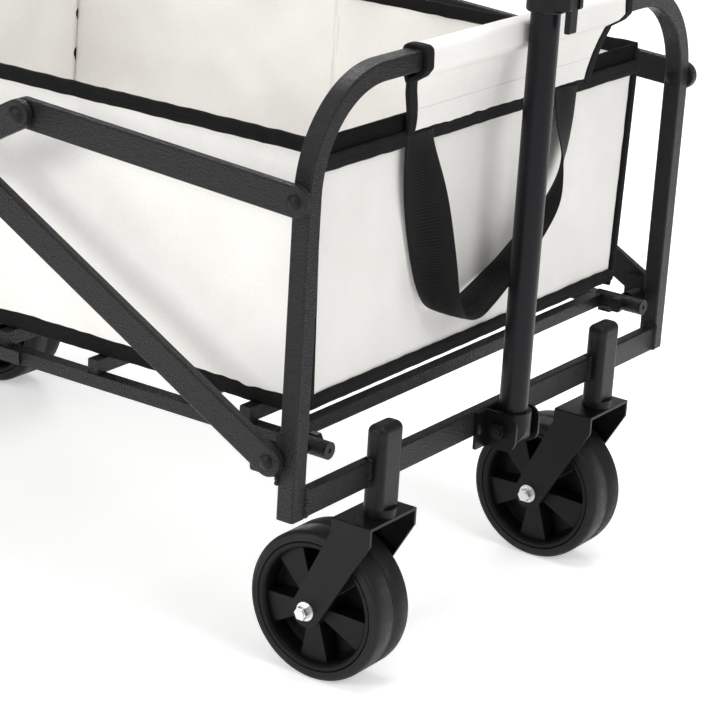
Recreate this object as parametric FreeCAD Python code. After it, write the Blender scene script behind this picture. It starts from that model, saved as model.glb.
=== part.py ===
import FreeCAD, Part
import math
import os

# Folding utility wagon with a fabric tub, two swivelling front casters and a telescoping pull handle.
# Millimetres. +X points to the handle end, +Y to the wagon's left, +Z up.
# The origin is on the floor, under the middle of the whole wagon. The shapes below are drawn about the
# middle between the end frames, and each is moved forward by ORIGIN_SHIFT as it is saved.

V = FreeCAD.Vector
os.makedirs("parts", exist_ok=True)
ORIGIN_SHIFT = 11.0      # half the difference between what stands out at the front and at the rear

# ---- Driving dimensions -------------------------------------------------------------------------

# End frames: an inverted U of square tube and a flat crossbar near its feet.
FRAME_X = 338.0          # centre of the front posts; the rear posts are at the same distance behind
POST_Y = 274.0           # centre of the left post; the right post mirrors it
POST = 16.0              # side of the square post tube
TUBE_WALL = 1.5
FRAME_BOTTOM = 175.0     # underside of the posts and of the crossbar
FRAME_TOP = 515.0        # top of the hoop
HOOP_RADIUS = 90.0       # outer radius of the hoop's corners
BAR_DEPTH = 10.0
BAR_HEIGHT = 22.0

# Wheels and casters.
WHEEL_RADIUS = 63.0
TYRE_WIDTH = 46.0
TYRE_DEPTH = 8.5         # of the rubber on the rim
SPOKE_DEPTH = 6.0        # the spokes lie this far inside the rim's faces
SPOKE_THICK = 3.5
CASTER_Y = 167.0
CASTER_FORWARD = 2.0     # the swivel axis lies this far in front of the crossbar's face
TRAIL = 43.0             # the wheel axle lies this far behind the swivel axis
SOCKET_DEPTH = 18.0
SOCKET_WIDTH = 30.0
SOCKET_ROUND = 6.5
SOCKET_ABOVE_BAR = 17.0
CAP_HEIGHT = 12.0
STEM_RADIUS = 5.0
FORK_HEADROOM = 23.0     # from the top of the tyre to the top of the fork
SWIVEL_HEIGHT = 8.0      # of the bearing between the fork and the socket
FORK_ROOM = 9.0          # from the tyre's side to the outside of a leg
FORK_PLATE = 2.5
FORK_LENGTH = 37.0       # of the top plate, along the wagon
FORK_FOOT = 14.0         # radius of the leg's rounded foot
AXLE_RADIUS = 4.0

# Folding linkage.
PIVOT_BACK = 5.0         # from the post's back face to the lower pivot
LOWER_PIVOT_Z = 222.0
APEX_X = 80.0            # where a diagonal meets the link of the far end frame
APEX_RISE = 15.6         # above the upper pivot
ARM_HEIGHT = 24.0
ARM_THICK = 8.5
LAYER_GAP = 0.5          # between the post and the first layer of arms, and between the layers
PIN_RADIUS = 4.0
RUNNING = 0.05           # radial clearance of every pin in its hole
HEAD_RADIUS = 6.0
HEAD_HEIGHT = 2.2
HEAD_SHIM = 0.3          # the inner heads stand this far off the post, whose corner begins to curve there

# Load floor: two halves that hinge in the middle and fold upward.
RAIL_SPACE = 27.0        # from the post's inner face to the middle of the side rail
RAIL_WIDTH = 12.0
RAIL_HEIGHT = 11.0
RAIL_DROP = 6.5          # from the lower pivot to the rail's underside
HINGE_RISE = 1.5         # from the rail's underside to the middle hinge's axis
HINGE_PIN = 3.0
BARREL_RADIUS = 7.0
PLUG_RADIUS = 4.5
BARREL_LENGTH = 45.0
BARREL_OVERHANG = 20.0   # beyond the lower pivot
END_RAIL_BACK = 24.0     # from the lower pivot back to the middle of the floor's end rail
BEARER = 12.0            # height of the cross bearers that lie on top of the side rails
LAST_BEARER_BACK = 61.0
SLAT_HEIGHT = 8.0
FLOOR_GAP = 0.5
FLOOR_FABRIC = 1.5
BOARD = 4.0

# Fabric tub.
PANEL_BACK = 21.0        # from the middle of the post back to the panel's face
BAG_FLOOR_IN = 38.0      # from the post's inner face to the tub at its floor
BAG_RIM_IN = 30.0        # and at its rim
RIM_DROP = 59.0          # from the top of the hoop to the rim
PANEL_THICK = 3.0
SKIRT_HEIGHT = 106.0     # end panels are free of the folding floor above this part
BAG_GAP = 1.5            # between the board's top and the walls' lower edge
SLEEVE_IN = 42.0         # from the end of the hoop's straight top to the sleeve's edge

# Handle.
HANDLE_GAP = 0.5         # between the yoke and the crossbar
HANDLE_PIVOT_RISE = 6.0  # above the crossbar's underside
HANDLE_RADIUS = 12.0
HANDLE_WALL = 1.4
SLIDING = 1.0            # radial room between the two tubes
HANDLE_TOP = 529.0
GRIP_TOP = 668.0
YOKE_WALL = 3.5
EAR = 2.5
BRACKET_BELOW = 17.0     # from the pivot to the ears' lower edge
BRACKET_ABOVE = 15.0

# ---- Values that follow from them ---------------------------------------------------------------

POST_OUT = POST_Y + POST / 2
POST_IN = POST_Y - POST / 2
FACE_X = FRAME_X + POST / 2                   # front face of the posts and of the crossbar
BAR_BACK = FACE_X - BAR_DEPTH
BAR_TOP = FRAME_BOTTOM + BAR_HEIGHT
STRAIGHT_Y = POST_OUT - HOOP_RADIUS           # where the hoop's straight top ends
UPPER_PIVOT_Z = FRAME_TOP - HOOP_RADIUS       # where the post's straight part ends
APEX_Z = UPPER_PIVOT_Z + APEX_RISE
RIM_RADIUS = WHEEL_RADIUS - TYRE_DEPTH
CASTER_X = FACE_X + CASTER_FORWARD
FORK_TOP = 2 * WHEEL_RADIUS + FORK_HEADROOM
FORK_WIDTH = TYRE_WIDTH + 2 * FORK_ROOM       # over the outside of the legs
SOCKET_BOTTOM = FORK_TOP + SWIVEL_HEIGHT
SOCKET_TOP = BAR_TOP + SOCKET_ABOVE_BAR
LOWER_X = FRAME_X - POST / 2 - PIVOT_BACK
LAYER_1 = POST_OUT + LAYER_GAP                # inner face of the arms that lie against the posts
LAYER_2 = LAYER_1 + ARM_THICK + LAYER_GAP     # inner face of the arms outside them
LAYER_END = LAYER_2 + ARM_THICK
RAIL_Y = POST_IN - RAIL_SPACE
RAIL_BOTTOM = LOWER_PIVOT_Z - RAIL_DROP
HINGE_Z = RAIL_BOTTOM + HINGE_RISE
CROSS_RAIL_X = LOWER_X - END_RAIL_BACK
LAST_BEARER_X = LOWER_X - LAST_BEARER_BACK
RAIL_TOP = RAIL_BOTTOM + RAIL_HEIGHT
RAIL_IN = RAIL_Y - RAIL_WIDTH / 2
RAIL_OUT = RAIL_Y + RAIL_WIDTH / 2
BEARER_TOP = RAIL_TOP + BEARER
BAG_X = FRAME_X - PANEL_BACK                  # half the tub's length
BAG_FLOOR_Y = POST_IN - BAG_FLOOR_IN
BAG_RIM_Y = POST_IN - BAG_RIM_IN
BAG_BOTTOM = BEARER_TOP + FLOOR_GAP + FLOOR_FABRIC + BOARD + BAG_GAP
SKIRT_TOP = BAG_BOTTOM + SKIRT_HEIGHT
RIM_Z = FRAME_TOP - RIM_DROP
INNER_RADIUS = HANDLE_RADIUS - HANDLE_WALL - SLIDING
YOKE_RADIUS = HANDLE_RADIUS + YOKE_WALL
HANDLE_X = FACE_X + YOKE_RADIUS + HANDLE_GAP
HANDLE_PIVOT_Z = FRAME_BOTTOM + HANDLE_PIVOT_RISE
BRACKET_BOTTOM = HANDLE_PIVOT_Z - BRACKET_BELOW
BRACKET_TOP = HANDLE_PIVOT_Z + BRACKET_ABOVE
AXLE_X = CASTER_X - TRAIL
DROP = APEX_Z - LOWER_PIVOT_Z
CROSS_Z = LOWER_PIVOT_Z + DROP * LOWER_X / (LOWER_X + APEX_X)    # where the two diagonals cross
HOLE = PIN_RADIUS + RUNNING


# ---- Shape helpers ------------------------------------------------------------------------------

def box(x0, x1, y0, y1, z0, z1):
    return Part.makeBox(x1 - x0, y1 - y0, z1 - z0, V(x0, y0, z0))


def rod_y(x, y0, y1, z, radius):
    return Part.makeCylinder(radius, y1 - y0, V(x, y0, z), V(0, 1, 0))


def rod_z(x, y, z0, z1, radius):
    return Part.makeCylinder(radius, z1 - z0, V(x, y, z0), V(0, 0, 1))


def flip_y(shape):
    return shape.mirror(V(0, 0, 0), V(0, 1, 0))


def flip_x(shape):
    return shape.mirror(V(0, 0, 0), V(1, 0, 0))


def both_sides(shape):
    return [shape, flip_y(shape)]


def polygon_plate(points, thickness):
    """A flat plate: a closed outline of vectors, extruded along the thickness vector."""
    return Part.Face(Part.makePolygon(points + [points[0]])).extrude(thickness)


def round_long_edges(shape, direction, radius):
    """Rounds the straight edges that run along a direction."""
    edges = [e for e in shape.Edges
             if isinstance(e.Curve, Part.Line) and abs(abs(e.tangentAt(e.FirstParameter).dot(direction)) - 1) < 1e-6]
    return shape.makeFillet(radius, edges)


def rivet_head(x, y, z, outward, radius=HEAD_RADIUS, height=HEAD_HEIGHT):
    """A low domed head whose flat side is at y; outward is +1 or -1 along Y."""
    dome = (radius * radius + height * height) / (2 * height)
    ball = Part.makeSphere(dome, V(x, y + outward * (height - dome), z))
    reach = radius + 1
    low, high = sorted((y, y + outward * reach))
    return ball.common(box(x - reach, x + reach, low, high, z - reach, z + reach))


def hexagon_y(x, y0, y1, z, across_flats):
    corner = across_flats / math.sqrt(3)
    points = [V(x + corner * math.cos(math.radians(60 * k)), y0, z + corner * math.sin(math.radians(60 * k)))
              for k in range(6)]
    return polygon_plate(points, V(0, y1 - y0, 0))


def stadium(start, end, y, thick, height):
    """A flat bar with round ends between two points of the X-Z plane, from y to y + thick."""
    run = V(end[0] - start[0], 0, end[1] - start[1])
    side = V(-run.z, 0, run.x).normalize().multiply(height / 2)
    a = V(start[0], y, start[1])
    b = V(end[0], y, end[1])
    tip_a = a - V(run).normalize().multiply(height / 2)
    tip_b = b + V(run).normalize().multiply(height / 2)
    wire = Part.Wire([
        Part.LineSegment(a + side, b + side).toShape(),
        Part.Arc(b + side, tip_b, b - side).toShape(),
        Part.LineSegment(b - side, a - side).toShape(),
        Part.Arc(a - side, tip_a, a + side).toShape(),
    ])
    return Part.Face(wire).extrude(V(0, thick, 0))


def save(name, solids):
    """Writes one node: one solid, or a group of separate solids."""
    solids = solids if isinstance(solids, list) else [solids]
    flat = [s for shape in solids for s in shape.Solids]
    shape = flat[0] if len(flat) == 1 else Part.makeCompound(flat)
    shape = shape.translated(V(ORIGIN_SHIFT, 0, 0))
    assert shape.isValid(), name
    shape.exportStep("parts/" + name + ".step")


# ---- End frames ---------------------------------------------------------------------------------

def hoop_bar(inset, thickness, x0):
    """The inverted U, its outline pulled in by inset, extruded along X."""
    out = POST_OUT - inset
    top = FRAME_TOP - inset
    inn = POST_IN + inset
    under = FRAME_TOP - POST + inset
    r_out = HOOP_RADIUS - inset
    r_in = HOOP_RADIUS - POST + inset
    c_y = POST_OUT - HOOP_RADIUS
    c_z = FRAME_TOP - HOOP_RADIUS
    d = math.sqrt(0.5)
    edges = [
        Part.LineSegment(V(x0, out, FRAME_BOTTOM), V(x0, out, c_z)),
        Part.Arc(V(x0, out, c_z), V(x0, c_y + r_out * d, c_z + r_out * d), V(x0, c_y, top)),
        Part.LineSegment(V(x0, c_y, top), V(x0, -c_y, top)),
        Part.Arc(V(x0, -c_y, top), V(x0, -c_y - r_out * d, c_z + r_out * d), V(x0, -out, c_z)),
        Part.LineSegment(V(x0, -out, c_z), V(x0, -out, FRAME_BOTTOM)),
        Part.LineSegment(V(x0, -out, FRAME_BOTTOM), V(x0, -inn, FRAME_BOTTOM)),
        Part.LineSegment(V(x0, -inn, FRAME_BOTTOM), V(x0, -inn, c_z)),
        Part.Arc(V(x0, -inn, c_z), V(x0, -c_y - r_in * d, c_z + r_in * d), V(x0, -c_y, under)),
        Part.LineSegment(V(x0, -c_y, under), V(x0, c_y, under)),
        Part.Arc(V(x0, c_y, under), V(x0, c_y + r_in * d, c_z + r_in * d), V(x0, inn, c_z)),
        Part.LineSegment(V(x0, inn, c_z), V(x0, inn, FRAME_BOTTOM)),
        Part.LineSegment(V(x0, inn, FRAME_BOTTOM), V(x0, out, FRAME_BOTTOM)),
    ]
    return Part.Face(Part.Wire([e.toShape() for e in edges])).extrude(V(thickness, 0, 0))


def end_hoop():
    outer = hoop_bar(0.0, POST, FRAME_X - POST / 2)
    ring = [e for e in outer.Edges
            if abs(e.BoundBox.XLength) < 1e-6 and e.BoundBox.ZMax > FRAME_BOTTOM + 1]
    outer = outer.makeFillet(2.2, ring)
    bore = hoop_bar(TUBE_WALL, POST - 2 * TUBE_WALL, FRAME_X - POST / 2 + TUBE_WALL)
    hoop = outer.cut(bore)
    for side in (1, -1):
        y0, y1 = sorted((side * (POST_IN - 1), side * (POST_OUT + 1)))
        hoop = hoop.cut(rod_y(FRAME_X, y0, y1, UPPER_PIVOT_Z, HOLE))
    return hoop


def crossbar():
    """Flat tube between the posts, notched where the caster sockets pass through its front."""
    bar = round_long_edges(box(BAR_BACK, FACE_X, -POST_IN, POST_IN, FRAME_BOTTOM, BAR_TOP), V(0, 1, 0), 1.8)
    bar = bar.cut(box(BAR_BACK + TUBE_WALL, FACE_X - TUBE_WALL, -POST_IN, POST_IN,
                      FRAME_BOTTOM + TUBE_WALL, BAR_TOP - TUBE_WALL))
    for y in (CASTER_Y, -CASTER_Y):
        bar = bar.cut(box(CASTER_X - SOCKET_DEPTH / 2, FACE_X + 1, y - SOCKET_WIDTH / 2, y + SOCKET_WIDTH / 2,
                          FRAME_BOTTOM - 1, BAR_TOP + 1))
    return bar


def caster_socket(y):
    """Upright flat-oval tube that takes the caster's stem."""
    tube = box(CASTER_X - SOCKET_DEPTH / 2, CASTER_X + SOCKET_DEPTH / 2,
               y - SOCKET_WIDTH / 2, y + SOCKET_WIDTH / 2, SOCKET_BOTTOM, SOCKET_TOP)
    tube = round_long_edges(tube, V(0, 0, 1), SOCKET_ROUND)
    return tube.cut(rod_z(CASTER_X, y, SOCKET_BOTTOM - 1, SOCKET_TOP - 6, STEM_RADIUS + RUNNING))


def socket_cap(y):
    """Domed plastic plug on top of a socket."""
    cap = box(CASTER_X - SOCKET_DEPTH / 2, CASTER_X + SOCKET_DEPTH / 2,
              y - SOCKET_WIDTH / 2, y + SOCKET_WIDTH / 2, SOCKET_TOP, SOCKET_TOP + CAP_HEIGHT)
    cap = round_long_edges(cap, V(0, 0, 1), SOCKET_ROUND)
    top = [e for e in cap.Edges if e.BoundBox.ZMin > SOCKET_TOP + CAP_HEIGHT - 0.1]
    return cap.makeFillet(6.2, top)


def pivot_lug():
    """Plate behind the left post for the lower pivot, with a tab bent inward under the floor's barrel."""
    plate = box(LOWER_X - 21, FRAME_X - POST / 2, POST_OUT - 3, POST_OUT, LOWER_PIVOT_Z - 14, LOWER_PIVOT_Z + 14)
    plate = round_long_edges(plate, V(0, 1, 0), 2.5)
    tab_top = LOWER_PIVOT_Z - BARREL_RADIUS - 0.5
    tab = box(LOWER_X - 21, LOWER_X - 9, RAIL_IN, POST_OUT - 2.5, tab_top - 3, tab_top)
    return plate.fuse(tab).cut(rod_y(LOWER_X, POST_OUT - 4, POST_OUT + 1, LOWER_PIVOT_Z, HOLE))


def upper_rivet(link_layer):
    """Left upper pivot: a rivet through the post and the link that turns on it."""
    end = link_layer + ARM_THICK + 0.3
    inner = POST_IN - HEAD_SHIM
    shank = rod_y(FRAME_X, inner - 0.05, end, UPPER_PIVOT_Z, PIN_RADIUS)
    heads = [rivet_head(FRAME_X, end - 0.05, UPPER_PIVOT_Z, 1), rivet_head(FRAME_X, inner, UPPER_PIVOT_Z, -1)]
    rivet = shank.fuse(heads)
    if link_layer > LAYER_1:
        rivet = rivet.fuse(rod_y(FRAME_X, POST_OUT, link_layer - 0.3, UPPER_PIVOT_Z, HEAD_RADIUS))
    return rivet


def lower_bolt(arm_layer):
    """Left lower pivot: a bolt through the diagonal, the lug and the floor's barrel, with a lock nut."""
    end = arm_layer + ARM_THICK + 0.3
    inner = RAIL_Y - BARREL_RADIUS
    shank = rod_y(LOWER_X, inner - 7, end, LOWER_PIVOT_Z, PIN_RADIUS)
    head = rivet_head(LOWER_X, end - 0.05, LOWER_PIVOT_Z, 1)
    nut = hexagon_y(LOWER_X, inner - 6.3, inner - 0.3, LOWER_PIVOT_Z, 12.0)
    bolt = shank.fuse([head, nut])
    if arm_layer > LAYER_1:
        bolt = bolt.fuse(rod_y(LOWER_X, POST_OUT, arm_layer - 0.3, LOWER_PIVOT_Z, HEAD_RADIUS))
    return bolt


def spacer():
    """Tube that keeps the floor's barrel clear of the left post."""
    y0 = RAIL_Y + BARREL_RADIUS + 0.3
    y1 = POST_IN - 0.3
    return rod_y(LOWER_X, y0, y1, LOWER_PIVOT_Z, 7.5).cut(rod_y(LOWER_X, y0 - 1, y1 + 1, LOWER_PIVOT_Z, HOLE))


# ---- Casters and wheels -------------------------------------------------------------------------

def fork(x, y, trail):
    """A bent plate: a flat top, two legs that run back to the axle, and a riveted swivel stem."""
    half = FORK_WIDTH / 2
    front = x + FORK_LENGTH * 0.36
    back = front - FORK_LENGTH
    axle_x = x - trail
    base = FORK_TOP - FORK_PLATE
    top = round_long_edges(box(back, front, y - half, y + half, base, FORK_TOP), V(1, 0, 0), 1.2)
    foot = V(axle_x, 0, WHEEL_RADIUS)
    legs = []
    for leg_y in (y - half, y + half - FORK_PLATE):
        foot_disc = rod_y(axle_x, leg_y, leg_y + FORK_PLATE, WHEEL_RADIUS, FORK_FOOT)
        run = V((front + back) / 2, 0, FORK_TOP) - foot
        side = V(-run.z, 0, run.x).normalize().multiply(FORK_FOOT)
        outline = [V(back, leg_y, FORK_TOP - 1), V(front, leg_y, FORK_TOP - 1),
                   V(front, leg_y, FORK_TOP - 15),
                   V(foot.x - side.x, leg_y, foot.z - side.z), V(foot.x + side.x, leg_y, foot.z + side.z),
                   V(back, leg_y, FORK_TOP - 12)]
        legs.append(polygon_plate(outline, V(0, FORK_PLATE, 0)).fuse(foot_disc))
    body = top.fuse(legs)
    body = body.cut(rod_y(axle_x, y - half - 1, y + half + 1, WHEEL_RADIUS, AXLE_RADIUS))
    stem = rod_z(x, y, FORK_TOP, SOCKET_TOP - 8, STEM_RADIUS)
    collar = rod_z(x, y, FORK_TOP, SOCKET_BOTTOM - 0.4, 13.0)
    return body.fuse([stem, collar])


def axle(x, y, trail):
    """Axle bolt with a domed head at one end and a lock nut and washers at the other."""
    half = FORK_WIDTH / 2
    axle_x = x - trail
    shank = rod_y(axle_x, y - half - 9, y + half + 1, WHEEL_RADIUS, AXLE_RADIUS - 0.02)
    washer = rod_y(axle_x, y - half - 1.6, y - half, WHEEL_RADIUS, 8.0)
    nut = hexagon_y(axle_x, y - half - 8, y - half - 1.5, WHEEL_RADIUS, 10.0)
    head = rod_y(axle_x, y + half, y + half + 3.5, WHEEL_RADIUS, 7.0)
    head = head.makeFillet(2.5, [e for e in head.Edges if e.BoundBox.YMin > y + half + 3.4])
    return shank.fuse([washer, nut, head])


def tyre(x, y):
    """Solid tyre with rounded shoulders."""
    half = TYRE_WIDTH / 2
    ring = rod_y(x, y - half, y + half, WHEEL_RADIUS, WHEEL_RADIUS)
    rims = [e for e in ring.Edges if isinstance(e.Curve, Part.Circle)]
    ring = ring.makeFillet(5.0, rims)
    return ring.cut(rod_y(x, y - half - 1, y + half + 1, WHEEL_RADIUS, RIM_RADIUS))


def hub(x, y):
    """Moulded rim and boss joined by a central web, with five spokes that widen outward on each side."""
    half = TYRE_WIDTH / 2
    rim_in = RIM_RADIUS - 4.5
    boss = 13.0
    rim = rod_y(x, y - half, y + half, WHEEL_RADIUS, RIM_RADIUS)
    rim = rim.cut(rod_y(x, y - half - 1, y + half + 1, WHEEL_RADIUS, rim_in))
    barrel_half = FORK_WIDTH / 2 - FORK_PLATE - 1.0
    core = rod_y(x, y - barrel_half, y + barrel_half, WHEEL_RADIUS, boss)
    pieces = [core]
    for k in range(5):
        angle = math.radians(270 + 72 * k)
        ray = V(math.cos(angle), 0, math.sin(angle))
        side = V(-ray.z, 0, ray.x)
        for plate_y in (y - half + SPOKE_DEPTH, y + half - SPOKE_DEPTH - SPOKE_THICK):
            centre = V(x, plate_y, WHEEL_RADIUS)
            near = centre + V(ray).multiply(boss - 2)
            far = centre + V(ray).multiply(rim_in + 1)
            outline = [near + V(side).multiply(5.5), far + V(side).multiply(14.5),
                       far - V(side).multiply(14.5), near - V(side).multiply(5.5)]
            pieces.append(polygon_plate(outline, V(0, SPOKE_THICK, 0)))
    web = rod_y(x, y - 2, y + 2, WHEEL_RADIUS, rim_in + 1)
    wheel = rim.fuse(pieces + [web])
    return wheel.cut(rod_y(x, y - 40, y + 40, WHEEL_RADIUS, AXLE_RADIUS + RUNNING))


# ---- Linkage ------------------------------------------------------------------------------------

def arm(start, end, layer, holes):
    """Flat tube with round closed ends, drilled at the given points of the X-Z plane."""
    bar = stadium(start, end, layer, ARM_THICK, ARM_HEIGHT)
    rims = [e for e in bar.Edges if abs(e.BoundBox.YLength) < 1e-6]
    bar = bar.makeFillet(2.0, rims)
    for x, z in holes:
        bar = bar.cut(rod_y(x, layer - 1, layer + ARM_THICK + 1, z, HOLE))
    return bar


def outer_rivet(x, z):
    """Left rivet of the outer layer, flush with that layer's inner face."""
    shank = rod_y(x, LAYER_2 + 0.1, LAYER_END + 0.05, z, PIN_RADIUS)
    return shank.fuse(rivet_head(x, LAYER_END, z, 1, 7.0, 2.6))


# ---- Load floor ---------------------------------------------------------------------------------

def floor_frame(hinge_outside):
    """Front half of the load floor's frame: side rails, end rail, bearers, slats, barrels and hinge plates."""
    start = 9.0
    barrel_start = LOWER_X + BARREL_OVERHANG - BARREL_LENGTH
    parts = []
    for side in (1, -1):
        y0, y1 = sorted((side * RAIL_IN, side * RAIL_OUT))
        parts.append(box(start, barrel_start + 8, y0, y1, RAIL_BOTTOM, RAIL_TOP))
        barrel = Part.makeCylinder(BARREL_RADIUS, BARREL_LENGTH, V(barrel_start, side * RAIL_Y, LOWER_PIVOT_Z),
                                   V(1, 0, 0))
        parts.append(barrel)
        plate_y = RAIL_OUT if hinge_outside else RAIL_IN - 2.5
        p0, p1 = sorted((side * plate_y, side * (plate_y + 2.5)))
        plate = box(0, 42, p0, p1, RAIL_BOTTOM, RAIL_TOP).fuse(rod_y(0, p0, p1, HINGE_Z, 7.0))
        parts.append(plate)
    parts.append(box(CROSS_RAIL_X - 5, CROSS_RAIL_X + 5, -RAIL_IN, RAIL_IN, RAIL_BOTTOM, RAIL_TOP))
    for x in (16.0, 112.0, 208.0, LAST_BEARER_X):
        parts.append(box(x, x + 10, -RAIL_OUT + 1, RAIL_OUT - 1, RAIL_TOP, BEARER_TOP))
    for y in (-160.0, -80.0, 0.0, 80.0, 160.0):
        parts.append(box(16, LAST_BEARER_X, y - 6, y + 6, BEARER_TOP - SLAT_HEIGHT, BEARER_TOP))
    frame = parts[0].fuse(parts[1:]).removeSplitter()
    for side in (1, -1):
        y0, y1 = sorted((side * (RAIL_IN - 6), side * (RAIL_OUT + 6)))
        frame = frame.cut(rod_y(LOWER_X, y0, y1, LOWER_PIVOT_Z, HOLE))
        frame = frame.cut(rod_y(0, y0, y1, HINGE_Z, HINGE_PIN + RUNNING))
        plug_bore = Part.makeCylinder(PLUG_RADIUS + 0.05, 7.0, V(LOWER_X + BARREL_OVERHANG - 6, side * RAIL_Y, LOWER_PIVOT_Z),
                                      V(1, 0, 0))
        frame = frame.cut(plug_bore)
    return frame


def barrel_plug():
    """Plastic plug in the open end of the left barrel."""
    end = LOWER_X + BARREL_OVERHANG
    plug = Part.makeCylinder(PLUG_RADIUS, 6.0, V(end - 6, RAIL_Y, LOWER_PIVOT_Z), V(1, 0, 0))
    flange = Part.makeCylinder(BARREL_RADIUS, 1.5, V(end, RAIL_Y, LOWER_PIVOT_Z), V(1, 0, 0))
    dimple = Part.makeCylinder(2.0, 1.0, V(end + 0.6, RAIL_Y, LOWER_PIVOT_Z), V(1, 0, 0))
    return plug.fuse(flange).cut(dimple)


def hinge_pin():
    """Left middle-hinge pin, headed outside the front half's plate."""
    y0 = RAIL_IN - 5.0
    y1 = RAIL_OUT + 2.5
    return rod_y(0, y0, y1 + 0.05, HINGE_Z, HINGE_PIN).fuse(rivet_head(0, y1, HINGE_Z, 1, 5.5, 2.0))


def floor_fabric():
    """Front half of the tub's fabric floor."""
    z0 = BEARER_TOP + FLOOR_GAP
    return box(1.0, BAG_X - 9, -BAG_FLOOR_Y, BAG_FLOOR_Y, z0, z0 + FLOOR_FABRIC)


def floor_board():
    """Front half of the stiff board that lies on the fabric floor."""
    z0 = BEARER_TOP + FLOOR_GAP + FLOOR_FABRIC
    board = box(1.0, BAG_X - 13, -BAG_FLOOR_Y + 6, BAG_FLOOR_Y - 6, z0, z0 + BOARD)
    return round_long_edges(board, V(0, 0, 1), 12.0)


# ---- Fabric tub ---------------------------------------------------------------------------------

def side_y(z):
    """Half the tub's width at a height: it widens evenly from the floor to the rim."""
    share = (z - BAG_BOTTOM) / (RIM_Z - BAG_BOTTOM)
    return BAG_FLOOR_Y + (BAG_RIM_Y - BAG_FLOOR_Y) * share


def end_panel():
    """Upper part of the front fabric panel."""
    x = BAG_X - PANEL_THICK
    outline = [V(x, side_y(SKIRT_TOP), SKIRT_TOP), V(x, side_y(RIM_Z), RIM_Z),
               V(x, -side_y(RIM_Z), RIM_Z), V(x, -side_y(SKIRT_TOP), SKIRT_TOP)]
    return polygon_plate(outline, V(PANEL_THICK, 0, 0))


def soft_walls():
    """The fabric that crumples: the front halves of both side walls, joined by the end panel's lower part."""
    x = BAG_X - PANEL_THICK
    skirt_top = SKIRT_TOP - 0.3
    skirt = polygon_plate([V(x, side_y(BAG_BOTTOM), BAG_BOTTOM), V(x, side_y(skirt_top), skirt_top),
                           V(x, -side_y(skirt_top), skirt_top), V(x, -side_y(BAG_BOTTOM), BAG_BOTTOM)],
                          V(PANEL_THICK, 0, 0))
    walls = []
    for side in (1, -1):
        low = side * side_y(BAG_BOTTOM)
        high = side * side_y(RIM_Z)
        outline = [V(1.0, low, BAG_BOTTOM), V(BAG_X, low, BAG_BOTTOM), V(BAG_X, high, RIM_Z), V(1.0, high, RIM_Z)]
        walls.append(polygon_plate(outline, V(0, side * PANEL_THICK, 0)))
    return skirt.fuse(walls)


def rail_sleeve(y0, y1):
    """Fabric sleeve from the tub's rim up and over the hoop's top rail."""
    t = 1.5
    gap = 0.4
    back = FRAME_X - POST / 2 - gap
    front = FACE_X + gap
    under = FRAME_TOP - POST - gap
    top = FRAME_TOP + gap
    outer = box(back - t, front + t, y0, y1, under - t, top + t)
    outer = round_long_edges(outer, V(0, 1, 0), 3.0)
    ring = outer.cut(box(back, front, y0 - 1, y1 + 1, under, top))
    flap = polygon_plate([V(BAG_X + 0.3, y0, RIM_Z - 10), V(BAG_X + 0.3 + t, y0, RIM_Z - 10),
                          V(back + 6, y0, under - t + 0.5), V(back + 6 - t, y0, under - t + 0.5)],
                         V(0, y1 - y0, 0))
    return ring.fuse(flap)


def carry_strap():
    """Webbing loop on the front panel; it hangs in a U and stands off the panel towards its foot."""
    t = 1.6
    wide = 38.0
    top = RIM_Z - 12
    low = 264.0
    left = -105.0
    right = 114.0
    mid = -50.0
    lean = 0.12

    def at(y, z):
        return V(BAG_X + 0.3 + (top - z) * lean, y, z)

    outline = [at(left - wide / 2, top), at(left + wide / 2, top), at(mid - 14, low + 34),
               at(mid + 14, low + 34), at(right - wide / 2, top), at(right + wide / 2, top),
               at(mid + 30, low), at(mid - 30, low)]
    return polygon_plate(outline, V(t, 0, 0))


# ---- Handle -------------------------------------------------------------------------------------

def handle_bracket():
    """Two flanged ears on the crossbar that carry the handle's pivot bolt."""
    ear_in = YOKE_RADIUS + 0.6
    ears = []
    for side in (1, -1):
        y0, y1 = sorted((side * ear_in, side * (ear_in + EAR)))
        wall = box(FACE_X, HANDLE_X + YOKE_RADIUS, y0, y1, BRACKET_BOTTOM, BRACKET_TOP)
        corners = [e for e in wall.Edges
                   if e.BoundBox.XMin > HANDLE_X + YOKE_RADIUS - 0.1 and abs(e.BoundBox.YLength - EAR) < 1e-6]
        wall = wall.makeFillet(11.0, corners)
        f0, f1 = sorted((side * ear_in, side * (ear_in + 17)))
        flange = round_long_edges(box(FACE_X, FACE_X + EAR, f0, f1, BRACKET_BOTTOM, BRACKET_TOP), V(1, 0, 0), 1.2)
        ear = wall.fuse(flange)
        y_bolt = side * (ear_in + 10)
        ear = ear.fuse(rivet_x(FACE_X + EAR, y_bolt, HANDLE_PIVOT_Z))
        ears.append(ear.cut(rod_y(HANDLE_X, y0 - 1, y1 + 1, HANDLE_PIVOT_Z, HOLE)))
    return ears


def rivet_x(x, y, z):
    """Domed rivet head on a face that looks along +X."""
    radius = 5.0
    height = 2.0
    dome = (radius * radius + height * height) / (2 * height)
    ball = Part.makeSphere(dome, V(x + height - dome, y, z))
    reach = radius + 1
    return ball.common(box(x - 0.2, x + reach, y - reach, y + reach, z - reach, z + reach))


def handle_bolt():
    end = YOKE_RADIUS + 0.6 + EAR
    shank = rod_y(HANDLE_X, -end - 6.5, end + 0.05, HANDLE_PIVOT_Z, PIN_RADIUS)
    nut = hexagon_y(HANDLE_X, -end - 5.5, -end, HANDLE_PIVOT_Z, 12.0)
    return shank.fuse([nut, rivet_head(HANDLE_X, end, HANDLE_PIVOT_Z, 1, 7.0, 3.0)])


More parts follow.
